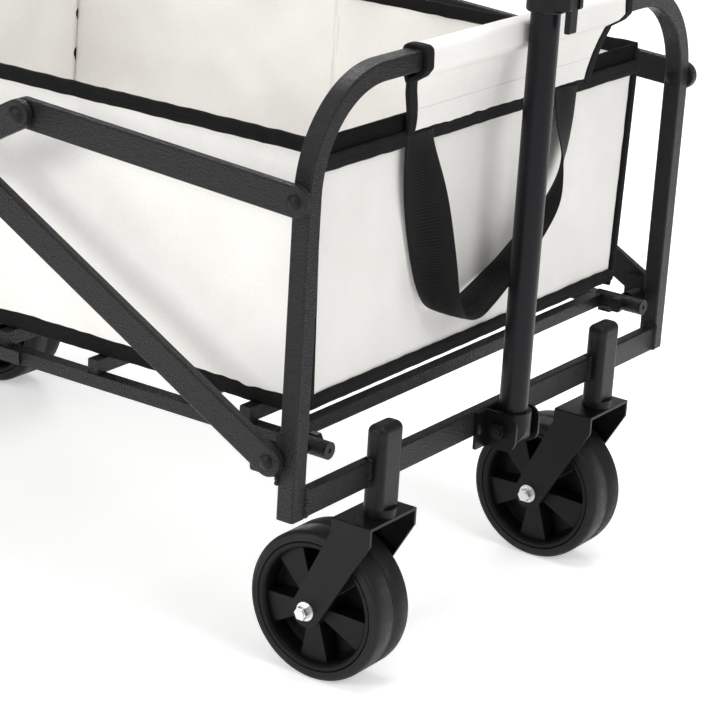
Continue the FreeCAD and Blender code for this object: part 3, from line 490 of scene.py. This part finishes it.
weave.links.new(math_node(weave, "ADD", math_node(weave, "MULTIPLY", crossing, 0.5), slub_part),
                weave_out.inputs["Height"])
patches = add_node(weave, "ShaderNodeTexNoise", {"Vector": slub_place, "Scale": 14.0, "Detail": 3.0})
slub_shade = ramp(weave, slub.outputs["Fac"], 0.3, 0.7, -0.5, 0.5)
patch_shade = ramp(weave, patches.outputs["Fac"], 0.3, 0.7, -0.5, 0.5)
weave.links.new(math_node(weave, "ADD", slub_shade, patch_shade), weave_out.inputs["Shade"])


def cloth_finish(name, dark, light, pitch, depth, roughness, sheen):
    """Woven cloth: threads in relief, and a colour that drifts between two tones."""
    material, tree, shader = new_finish(name, light, roughness, Sheen_Weight=sheen, Sheen_Roughness=0.5,
                                        Specular_IOR_Level=0.12)
    cloth = add_node(tree, "ShaderNodeGroup", node_tree=weave)
    cloth.inputs["Thread Pitch"].default_value = pitch
    bump = add_node(tree, "ShaderNodeBump", {"Height": cloth.outputs["Height"], "Strength": 0.55,
                                             "Distance": depth})
    tree.links.new(bump.outputs["Normal"], shader.inputs["Normal"])
    tone_share = ramp(tree, cloth.outputs["Shade"], -1.0, 1.0, 0.0, 1.0)
    tone = add_node(tree, "ShaderNodeMix", {"Factor": tone_share}, data_type="RGBA")
    for socket in tone.inputs:
        if socket.type == "RGBA":
            socket.default_value = (*dark, 1) if socket.name == "A" else (*light, 1)
    result = [socket for socket in tone.outputs if socket.type == "RGBA"][0]
    tree.links.new(result, shader.inputs["Base Color"])
    return material


canvas = cloth_finish("off-white canvas", (0.70, 0.685, 0.655), (0.83, 0.815, 0.785),
                      pitch=0.0010, depth=0.00022, roughness=0.85, sheen=0.12)
binding_tape = cloth_finish("black binding tape", (0.0015, 0.0015, 0.0015), (0.0085, 0.0085, 0.0082),
                            pitch=0.0011, depth=0.0009, roughness=0.8, sheen=0.03)
# The hem is black like the tape, and its cloth is painted darker still as painted shade where it sits back.
shaded_hem_cloth = cloth_finish("black hem cloth with painted shade", (0.0018, 0.0018, 0.0018), (0.005, 0.005, 0.005),
                         pitch=0.0009, depth=0.0002, roughness=0.85, sheen=0.0)


def half_width(z):
    """Half the tub's width at a height."""
    share = (z - tub_low) / (rim_height - tub_low)
    return floor_half + (rim_half - floor_half) * share


def sheet_piece(name, point, columns, rows, size, thickness, finish):
    """A sheet with its points from point(s, t), s and t from 0 to 1, and a thickness to both sides."""
    grid = [(i, j) for j in range(rows + 1) for i in range(columns + 1)]
    points = [point(i / columns, j / rows) for i, j in grid]
    places = [(size[0] * i / columns, size[1] * j / rows) for i, j in grid]
    wide = columns + 1
    faces = [(j * wide + i, j * wide + i + 1, (j + 1) * wide + i + 1, (j + 1) * wide + i)
             for j in range(rows) for i in range(columns)]
    piece = add_piece(name, points, faces, places)
    piece.data.materials.append(finish)
    wall = piece.modifiers.new("thickness", "SOLIDIFY")
    wall.thickness = thickness
    wall.offset = 0.0
    return settle(piece)


def hump(share):
    """0 at both ends of a span and 1 in its middle."""
    return math.sin(math.pi * min(max(share, 0), 1)) ** 0.6


def dent(place, size, seed):
    """A smooth rise or fall of the cloth, from -1 to 1."""
    return noise.noise(Vector((place[0] / size, place[1] / size, place[2] / size + seed)))


panel_drop = 0.004
wall_drop = 0.002
half_overlap = 0.003
corner_gap = 0.001


def panel_point(direction, s, t):
    """A point of an end panel: s runs across it and t up."""
    z = tub_low + (rim_height - panel_drop - tub_low) * t
    y = half_width(z) * (2 * s - 1)
    x = middle_x + direction * (front_x - middle_x - canvas_thick / 2 - corner_gap)
    give = hump(s) * hump(t)
    billow = (0.0032 * give * dent((y, z, 0), 0.11, 3.7 + direction)
              + 0.0012 * give * dent((y, z, 0), 0.045, 9.1))
    crease = 0.0016 * give * dent((y * 2.6, z * 0.5, 0), 0.06, 2.9)
    return Vector((x + direction * (billow + crease - 0.0020 * give), y, z))


def side_point(direction, side, s, t):
    """A point of a side wall's half: s runs from the tub's middle to its end panel and t up."""
    z = tub_low + (rim_height - wall_drop - tub_low) * t
    far = middle_x + direction * (front_x - middle_x - corner_gap)
    near = middle_x - direction * half_overlap
    x = near + (far - near) * s
    give = hump(t) * min(1, (1 - s) * 7 + 0.05)
    billow = 0.0052 * give * dent((x, z, side), 0.10, 1.3) + 0.0022 * give * dent((x, z, side), 0.042, 5.2)
    pleat = 0.0018 * give * math.sin(x * 46 + 2.2 * dent((x, z, 0), 0.09, 8.8))
    return Vector((x, side * (half_width(z) + canvas_thick / 2 + billow + pleat), z))


side_names = {"left": 1, "right": -1}


def fold_with_front_panel(piece):
    """Takes the piece's place into its mesh."""
    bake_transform(piece)


def fold_with_rear_panel(piece):
    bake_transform(piece)


def crumple(piece, end):
    """A side wall's half gets its own mesh and rides with its own end frame."""
    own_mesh(piece)
    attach(piece, end + "_frame")


panel_size = (2 * rim_half, rim_height - tub_low)
wall_size = (front_x - middle_x, rim_height - tub_low)
for end, direction in end_directions.items():
    panel = sheet_piece("canvas_panel_" + end, lambda s, t: panel_point(direction, s, t), 72, 36, panel_size,
                        canvas_thick, canvas)
    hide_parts("tub_panel_" + end)
    (fold_with_front_panel if end == "front" else fold_with_rear_panel)(panel)
    for side_name, side in side_names.items():
        wall = sheet_piece("canvas_side_" + end + "_" + side_name,
                           lambda s, t: side_point(direction, side, s, t), 72, 44, wall_size,
                           canvas_thick, canvas)
        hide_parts("tub_soft_walls_" + end)
        crumple(wall, end)

# The bindings. Black ribbed tape folded over every raw edge of the canvas and sewn down: along the
# rim, down the corners and along the bottom. The end panels' rim has a wider black hem above its tape,
# set back, with its cloth painted darker than the tape as painted shade.


def tape(name, middle, across, width, thick, steps, finish, waviness=0.0, corner=4):
    """A flat tape with soft edges: middle(s) is its centre line and across(s) the way its width runs."""
    outline = []
    for k in range(4 * corner):
        angle = 2 * math.pi * (k + 0.5) / (4 * corner)
        wide, high = math.cos(angle), math.sin(angle)
        outline.append((math.copysign(abs(wide) ** 0.35, wide) * width / 2,
                        math.copysign(abs(high) ** 0.7, high) * thick / 2))
    points, places = [], []
    length = 0.0
    line = [Vector(middle(i / steps)) for i in range(steps + 1)]
    for i, centre in enumerate(line):
        ahead = (line[min(i + 1, steps)] - line[max(i - 1, 0)]).normalized()
        wide = Vector(across(i / steps))
        wide = (wide - ahead * wide.dot(ahead)).normalized()
        high = ahead.cross(wide)
        if i:
            length += (line[i] - line[i - 1]).length
        lift = waviness * dent(centre, 0.012, 2.0)
        for k, (a, b) in enumerate(outline):
            points.append(centre + wide * (a + lift) + high * (b + lift * 0.6))
            places.append((length, width * k / len(outline)))
    ring = len(outline)
    faces = [(i * ring + k, i * ring + (k + 1) % ring, (i + 1) * ring + (k + 1) % ring, (i + 1) * ring + k)
             for i in range(steps) for k in range(ring)]
    faces += [tuple(reversed(range(ring))), tuple(steps * ring + k for k in range(ring))]
    piece = add_piece(name, points, faces, places)
    piece.data.materials.append(finish)
    outward(piece)
    return piece


def straight(start, end):
    """A straight centre line between two points."""
    start, end = Vector(start), Vector(end)
    return lambda s: start + (end - start) * s


tape_width = 0.0125
tape_thick = 0.0046
hem_width = 0.0215
front_tape_height = rim_height - 0.0188
bottom_tape_width = 0.0150
panel_tape_width = 0.0115
bottom_tape_thick = 0.0050
corner_tape_width = 0.0080
corner_tape_thick = 0.0052
hem_thick = 0.0040
rim_tape_stand = 0.0012
foot_tape_stand = 0.0005
upward = (0, 0, 1)
lean = (rim_half - floor_half) / (rim_height - tub_low)

for end, direction in end_directions.items():
    face_x = front_x if direction > 0 else rear_x
    rim_y = half_width(front_tape_height) + 0.003
    rim_x = face_x + direction * rim_tape_stand
    rim_tape = tape("rim_tape_" + end, straight((rim_x, -rim_y, front_tape_height),
                                                (rim_x, rim_y, front_tape_height)),
                    lambda s: upward, tape_width, tape_thick, 160, binding_tape, 0.0008)
    hem_height = rim_height - hem_width / 2 + 0.001
    hem_x = face_x - direction * canvas_thick / 2 - direction * 0.001
    hem = tape("rim_hem_" + end, straight((hem_x, -rim_y, hem_height), (hem_x, rim_y, hem_height)),
               lambda s: upward, hem_width, hem_thick, 120, shaded_hem_cloth, 0.0004)
    for piece in (rim_tape, hem):
        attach(piece, end + "_frame")
    bottom_z = tub_low - 0.0004
    panel_foot = tub_low + 0.0030
    foot_x = face_x - direction * foot_tape_stand
    bottom_tape = tape("bottom_tape_" + end, straight((foot_x, -floor_half, panel_foot),
                                                      (foot_x, floor_half, panel_foot)),
                       lambda s: upward, panel_tape_width, bottom_tape_thick, 160, binding_tape, 0.0007)
    corner_tapes = []
    for side_name, side in side_names.items():
        foot = (foot_x, side * (half_width(tub_low) - corner_gap), tub_low + corner_gap)
        head = (foot_x, side * (half_width(rim_height) - corner_gap), rim_height - panel_drop)
        corner_tapes.append(tape("corner_tape_" + end + "_" + side_name, straight(foot, head),
                                 lambda s: (0, 1, 0), corner_tape_width, corner_tape_thick, 90,
                                 binding_tape, 0.0007))
    for piece in [bottom_tape] + corner_tapes:
        (fold_with_front_panel if end == "front" else fold_with_rear_panel)(piece)
    for side_name, side in side_names.items():
        rim_line = rim_height - tape_width / 2 + 0.002
        wall_y = side * (half_width(rim_line) + canvas_thick / 2)
        near_x = middle_x - direction * half_overlap
        far_x = face_x - direction * corner_gap
        side_rim = tape("side_rim_tape_" + end + "_" + side_name,
                        straight((near_x, wall_y, rim_line), (far_x, wall_y, rim_line)),
                        lambda s: (0, side * lean, 1), tape_width, tape_thick, 120, binding_tape, 0.0008)
        low_y = side * (half_width(bottom_z) + 0.0005)
        side_bottom = tape("side_bottom_tape_" + end + "_" + side_name,
                           straight((near_x, low_y, bottom_z), (far_x, low_y, bottom_z)),
                           lambda s: upward, bottom_tape_width, bottom_tape_thick, 120, binding_tape,
                           0.0007)
        for piece in (side_rim, side_bottom):
            crumple(piece, end)

# The tub's floor. A stiff board under canvas in each half, with a soft edge all round, lying on the
# slats of the floor frame.
for end, direction in end_directions.items():
    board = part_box("floor_board_" + end)
    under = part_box("tub_floor_" + end)

    def mat_point(s, t, low=board[0], high=board[1]):
        x = low.x + (high.x - low.x) * s
        y = low.y + (high.y - low.y) * t
        rise = 0.0006 * dent((x, y, 0), 0.07, 4.4)
        return Vector((x, y, (low.z + high.z) / 2 + rise))

    mat = sheet_piece("floor_mat_" + end, mat_point, 40, 56,
                      (board[1].x - board[0].x, board[1].y - board[0].y),
                      board[1].z - board[0].z - 0.0004, canvas)
    soften = mat.modifiers.new("soft edge", "BEVEL")
    soften.width = 0.0015
    soften.segments = 3
    settle(mat)
    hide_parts("floor_board_" + end)

    def base_point(s, t, low=under[0], high=under[1]):
        return Vector((low.x + (high.x - low.x) * s, low.y + (high.y - low.y) * t, (low.z + high.z) / 2))

    base = sheet_piece("floor_cloth_" + end, base_point, 24, 32,
                       (under[1].x - under[0].x, under[1].y - under[0].y), under[1].z - under[0].z, canvas)
    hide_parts("tub_floor_" + end)
    for piece in (mat, base):
        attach(piece, "floor_" + end)

# The rail sleeves. A loop of canvas round the top rail, sewn shut below it and running down to the
# rim's tape; its curved side edges are bound with the same black tape.
hoop_box = {end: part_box(end + "_hoop") for end in ends}
post_size = hoop_box["front"][1].x - hoop_box["front"][0].x
sleeve_thick = 0.0018
sleeve_gap = 0.0014
sleeve_right = -0.143
sleeve_left = 0.159
sleeve_draw_right = 0.023
sleeve_draw_left = 0.008
sleeve_waist = 0.003
sleeve_curve_height = 0.062
sleeve_edge_width = 0.0115
sleeve_edge_thick = 0.0044


def sleeve_outline(direction):
    """The sleeve's section from the rim's tape, up in front of the rail, over it and back to its seam."""
    rail_low, rail_high = hoop_box["front" if direction > 0 else "rear"]
    rail_x = (rail_low.x + rail_high.x) / 2
    rail_top = rail_high.z
    reach = post_size / 2 + sleeve_gap
    face = front_x if direction > 0 else rear_x
    start = (face + direction * 0.0015, front_tape_height + 0.001)
    seam = (rail_x - direction * (reach - 0.003), rail_top - post_size - 0.011)
    outline = [start, (start[0] + (seam[0] - start[0]) * 0.35, start[1] + (seam[1] - start[1]) * 0.42),
               (start[0] + (seam[0] - start[0]) * 0.72, start[1] + (seam[1] - start[1]) * 0.78), seam,
               (rail_x + direction * (reach - 0.004), rail_top - post_size - 0.0035),
               (rail_x + direction * (reach + 0.0004), rail_top - post_size + 0.002)]
    for k in range(7):
        angle = math.pi * k / 6
        aside = math.copysign(abs(math.cos(angle)) ** 0.45, math.cos(angle))
        outline.append((rail_x + direction * reach * aside,
                        rail_top - 0.003 + (0.003 + sleeve_gap) * math.sin(angle) ** 0.7))
    outline += [(rail_x - direction * (reach + 0.0004), rail_top - post_size + 0.002),
                (rail_x - direction * (reach - 0.001), rail_top - post_size - 0.004),
                (seam[0] - direction * 0.0015, seam[1] + 0.0012)]
    return outline


def along_path(outline, share):
    """A point a share of the way along an outline, by length."""
    spans = [math.dist(a, b) for a, b in zip(outline, outline[1:])]
    left = share * sum(spans)
    for (a, b), span in zip(zip(outline, outline[1:]), spans):
        if left <= span or (a, b) == (outline[-2], outline[-1]):
            part = min(left / span, 1)
            return (a[0] + (b[0] - a[0]) * part, a[1] + (b[1] - a[1]) * part)
        left -= span


def path_length(outline):
    """The length of an outline from its first point to its last."""
    return sum(math.dist(a, b) for a, b in zip(outline, outline[1:]))


def sleeve_edge(z, side):
    """Where the sleeve's side edge lies at a height: it is widest at the rail and drawn in above the rim."""
    share = min(max((z - front_tape_height) / sleeve_curve_height, 0), 1)
    drawn_in = 0.5 + 0.5 * math.cos(math.pi * share)
    waist = math.sin(math.pi * share) * sleeve_waist
    if side < 0:
        return sleeve_right + sleeve_draw_right * drawn_in + waist
    return sleeve_left - sleeve_draw_left * drawn_in - waist


for end, direction in end_directions.items():
    outline = sleeve_outline(direction)

    def sleeve_point(s, t):
        x, z = along_path(outline, t)
        y = sleeve_edge(z, -1) + (sleeve_edge(z, 1) - sleeve_edge(z, -1)) * s
        rise = 0.0010 * hump(t) * dent((y, z * 2, x), 0.06, 6.6)
        return Vector((x + direction * abs(rise) * 0.6, y, z + rise * 0.4))

    round_length = path_length(outline)
    sleeve = sheet_piece("rail_sleeve_canvas_" + end, sleeve_point, 64, 72,
                         (sleeve_left - sleeve_right, round_length), sleeve_thick, canvas)
    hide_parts("rail_sleeve_" + end)
    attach(sleeve, end + "_frame")
    for side_name, side in side_names.items():
        def edge_point(s):
            x, z = along_path(outline, s)
            return Vector((x, sleeve_edge(z, side) - side * 0.002, z))

        edge = tape("sleeve_edge_" + end + "_" + side_name, edge_point, lambda s: (0, 1, 0),
                    sleeve_edge_width, sleeve_edge_thick, 150, binding_tape, 0.0005)
        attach(edge, end + "_frame")

# The carry loop. A length of ribbed black webbing, its ends sewn flat under the rim's tape; it hangs
# in a loop and turns so that its edge faces the panel at the bottom.
webbing_width = 0.037
webbing_thick = 0.0018
# Each station gives a point of the loop's centre line in metres, its x from the tub's middle and its
# z from the ground, and the webbing's turn there in degrees.
loop_stations = [
    (0.3205, -0.1050, 0.4400, 0), (0.3222, -0.1050, 0.4250, 6), (0.3300, -0.1040, 0.3870, 35),
    (0.3350, -0.0960, 0.3400, 60), (0.3370, -0.0860, 0.3060, 80), (0.3372, -0.0720, 0.2895, 88),
    (0.3368, -0.0520, 0.2850, 95), (0.3355, -0.0280, 0.2900, 105), (0.3330, 0.0170, 0.3070, 122),
    (0.3325, 0.0560, 0.3280, 128), (0.3320, 0.0860, 0.3520, 138), (0.3290, 0.1030, 0.3810, 152),
    (0.3230, 0.1110, 0.4150, 172), (0.3205, 0.1130, 0.4400, 180)]
webbing = cloth_finish("black webbing", (0.0022, 0.0022, 0.0022), (0.012, 0.012, 0.0118),
                       pitch=0.0013, depth=0.0003, roughness=0.65, sheen=0.05)


def smooth_through(stations, share):
    """A smooth curve through evenly counted stations."""
    last = len(stations) - 1
    spot = min(share * last, last - 1e-6)
    k = int(spot)
    f = spot - k
    a, b, c, d = (stations[min(max(k + n, 0), last)] for n in (-1, 0, 1, 2))
    return [0.5 * (2 * q + (r - p) * f + (2 * p - 5 * q + 4 * r - s) * f * f
                   + (3 * q - p - 3 * r + s) * f ** 3) for p, q, r, s in zip(a, b, c, d)]


def loop_middle(s):
    """A point of the carry loop's centre line."""
    x, y, z = smooth_through(loop_stations, s)[:3]
    return Vector((x + middle_x, y, z))


def loop_across(s):
    """The way the webbing's width runs there, always level."""
    turn = math.radians(smooth_through(loop_stations, s)[3])
    return (math.sin(turn), math.cos(turn), 0)


carry_loop = tape("carry_loop", loop_middle, loop_across, webbing_width, webbing_thick, 420, webbing)
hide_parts("carry_strap")
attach(carry_loop, "front_frame")

# Stitches, webbing ribs and weld beads. White thread closes each sleeve under its rail, the webbing is
# woven in cross ribs, and short runs of weld join the crossbar and the lugs to the posts and the
# sockets to the crossbar.
copies_tree = bpy.data.node_groups.new("copies at points", "GeometryNodeTree")
copies_tree.interface.new_socket("Geometry", in_out="INPUT", socket_type="NodeSocketGeometry")
copies_tree.interface.new_socket("Piece", in_out="INPUT", socket_type="NodeSocketObject")
copies_tree.interface.new_socket("Finish", in_out="INPUT", socket_type="NodeSocketMaterial")
copies_tree.interface.new_socket("Geometry", in_out="OUTPUT", socket_type="NodeSocketGeometry")
copies_in = copies_tree.nodes.new("NodeGroupInput")
copies_out = copies_tree.nodes.new("NodeGroupOutput")
copied = add_node(copies_tree, "GeometryNodeObjectInfo", {"Object": copies_in.outputs["Piece"]})
point_along = add_node(copies_tree, "GeometryNodeInputNamedAttribute", {"Name": "along"},
                       data_type="FLOAT_VECTOR")
point_across = add_node(copies_tree, "GeometryNodeInputNamedAttribute", {"Name": "across"},
                        data_type="FLOAT_VECTOR")
turn_along = add_node(copies_tree, "FunctionNodeAlignRotationToVector",
                      {"Vector": point_along.outputs["Attribute"]}, axis="X")
turn_across = add_node(copies_tree, "FunctionNodeAlignRotationToVector",
                       {"Rotation": turn_along.outputs["Rotation"],
                        "Vector": point_across.outputs["Attribute"]},
                       axis="Y", pivot_axis="X")
copies = add_node(copies_tree, "GeometryNodeInstanceOnPoints", {
    "Points": copies_in.outputs["Geometry"], "Instance": copied.outputs["Geometry"],
    "Rotation": turn_across.outputs["Rotation"]})
copies_real = add_node(copies_tree, "GeometryNodeRealizeInstances", {"Geometry": copies.outputs[0]})
copies_dressed = add_node(copies_tree, "GeometryNodeSetMaterial", {"Geometry": copies_real.outputs[0],
                                                                   "Material": copies_in.outputs["Finish"]})
copies_tree.links.new(copies_dressed.outputs[0], copies_out.inputs[0])


def pebble(name, length, width, height):
    """A small rounded lump: long along X, wide along Y."""
    work = bmesh.new()
    bmesh.ops.create_icosphere(work, subdivisions=2, radius=0.5)
    for vertex in work.verts:
        vertex.co = Vector((vertex.co.x * length, vertex.co.y * width, vertex.co.z * height))
    mesh = bpy.data.meshes.new(name)
    work.to_mesh(mesh)
    work.free()
    for face in mesh.polygons:
        face.use_smooth = True
    lump = bpy.data.objects.new(name, mesh)
    scene.collection.objects.link(lump)
    return lump


def copies_at(name, spots, lump, finish):
    """Copies of a lump at (place, along, across) spots, as one mesh."""
    base = add_piece(name, [spot[0] for spot in spots], [])
    for label, column in (("along", 1), ("across", 2)):
        layer = base.data.attributes.new(label, "FLOAT_VECTOR", "POINT")
        for value, spot in zip(layer.data, spots):
            value.vector = spot[column]
    return grow(base, copies_tree, Piece=lump, Finish=finish)


stitch = pebble("stitch", 0.0030, 0.0009, 0.0008)
rib = pebble("rib", 0.0018, webbing_width * 0.98, 0.0030)
bead = pebble("bead", 0.0044, 0.0048, 0.0030)
thread = cloth_finish("white thread", (0.62, 0.61, 0.59), (0.74, 0.73, 0.71),
                      pitch=0.0008, depth=0.0001, roughness=0.7, sheen=0.1)
seam_above_tape = 0.0235
stitch_pitch = 0.0042
stitch_margin = 0.008
stitch_lift = 0.0012

for end, direction in end_directions.items():
    outline = sleeve_outline(direction)
    seam_z = front_tape_height + seam_above_tape
    (x0, z0), (x1, z1) = [pair for pair in zip(outline, outline[1:]) if pair[0][1] <= seam_z <= pair[1][1]][0]
    seam_x = x0 + (x1 - x0) * (seam_z - z0) / (z1 - z0) + direction * stitch_lift
    first = sleeve_edge(seam_z, -1) + stitch_margin
    last = sleeve_edge(seam_z, 1) - stitch_margin
    spots = [((seam_x, first + stitch_pitch * k, seam_z), (0, 1, 0), (0, 0, 1))
             for k in range(int((last - first) / stitch_pitch))]
    seam = copies_at("sleeve_stitches_" + end, spots, stitch, thread)
    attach(seam, end + "_frame")

rib_count = 235
rib_spots = []
for k in range(1, rib_count):
    here = loop_middle(k / rib_count)
    ahead = (loop_middle((k + 0.5) / rib_count) - here).normalized()
    rib_spots.append((here, ahead, loop_across(k / rib_count)))
ribs = copies_at("carry_loop_ribs", rib_spots, rib, webbing)
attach(ribs, "front_frame")


def weld_run(start, finish_point, along_count, seed):
    """Overlapping beads from one point to another, a little uneven."""
    start, finish_point = Vector(start), Vector(finish_point)
    run = (finish_point - start).normalized()
    side = run.orthogonal()
    spots = []
    for k in range(along_count):
        place = start + (finish_point - start) * (k / max(along_count - 1, 1))
        stray = Vector([noise.noise(Vector((k * 1.7, seed, axis * 3.1))) for axis in range(3)])
        spots.append((place + stray * 0.0009, (run + stray * 0.5).normalized(), side))
    return spots


weld_foot = 0.002
socket_width = 0.030
lug_weld_above = (0.007, 0.020)
lug_weld_below = (-0.018, -0.009)
for end, direction in end_directions.items():
    bar_low, bar_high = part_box(end + "_crossbar")
    hoop_low, hoop_high = hoop_box[end]
    face = bar_high.x if direction > 0 else bar_low.x
    bar_back = bar_low.x if direction > 0 else bar_high.x
    post_back = hoop_low.x if direction > 0 else hoop_high.x
    spots = []
    for side in (-1, 1):
        joint = side * bar_high.y
        spots += weld_run((face, joint, bar_low.z + weld_foot), (face, joint, bar_high.z), 9, side)
        spots += weld_run((face, joint, bar_high.z), (bar_back, joint, bar_high.z), 5, side + 4)
        outside = side * hoop_high.y
        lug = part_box(end + "_pivot_lugs")
        middle_z = (lug[0].z + lug[1].z) / 2
        for (low, high), count, seed in ((lug_weld_above, 6, side + 7), (lug_weld_below, 4, side + 9)):
            spots += weld_run((post_back, outside, middle_z + low),
                              (post_back, outside, middle_z + high), count, seed)
    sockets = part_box(end + "_caster_sockets")
    for side in (-1, 1):
        for edge_y in (sockets[1].y, sockets[1].y - socket_width):
            spots += weld_run((face, side * edge_y, bar_low.z + weld_foot),
                              (face, side * edge_y, bar_high.z), 8, side + 20)
    welds = copies_at("weld_beads_" + end, spots, bead, hammered_black)
    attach(welds, end + "_frame")
for lump in (stitch, rib, bead):
    bpy.data.objects.remove(lump)
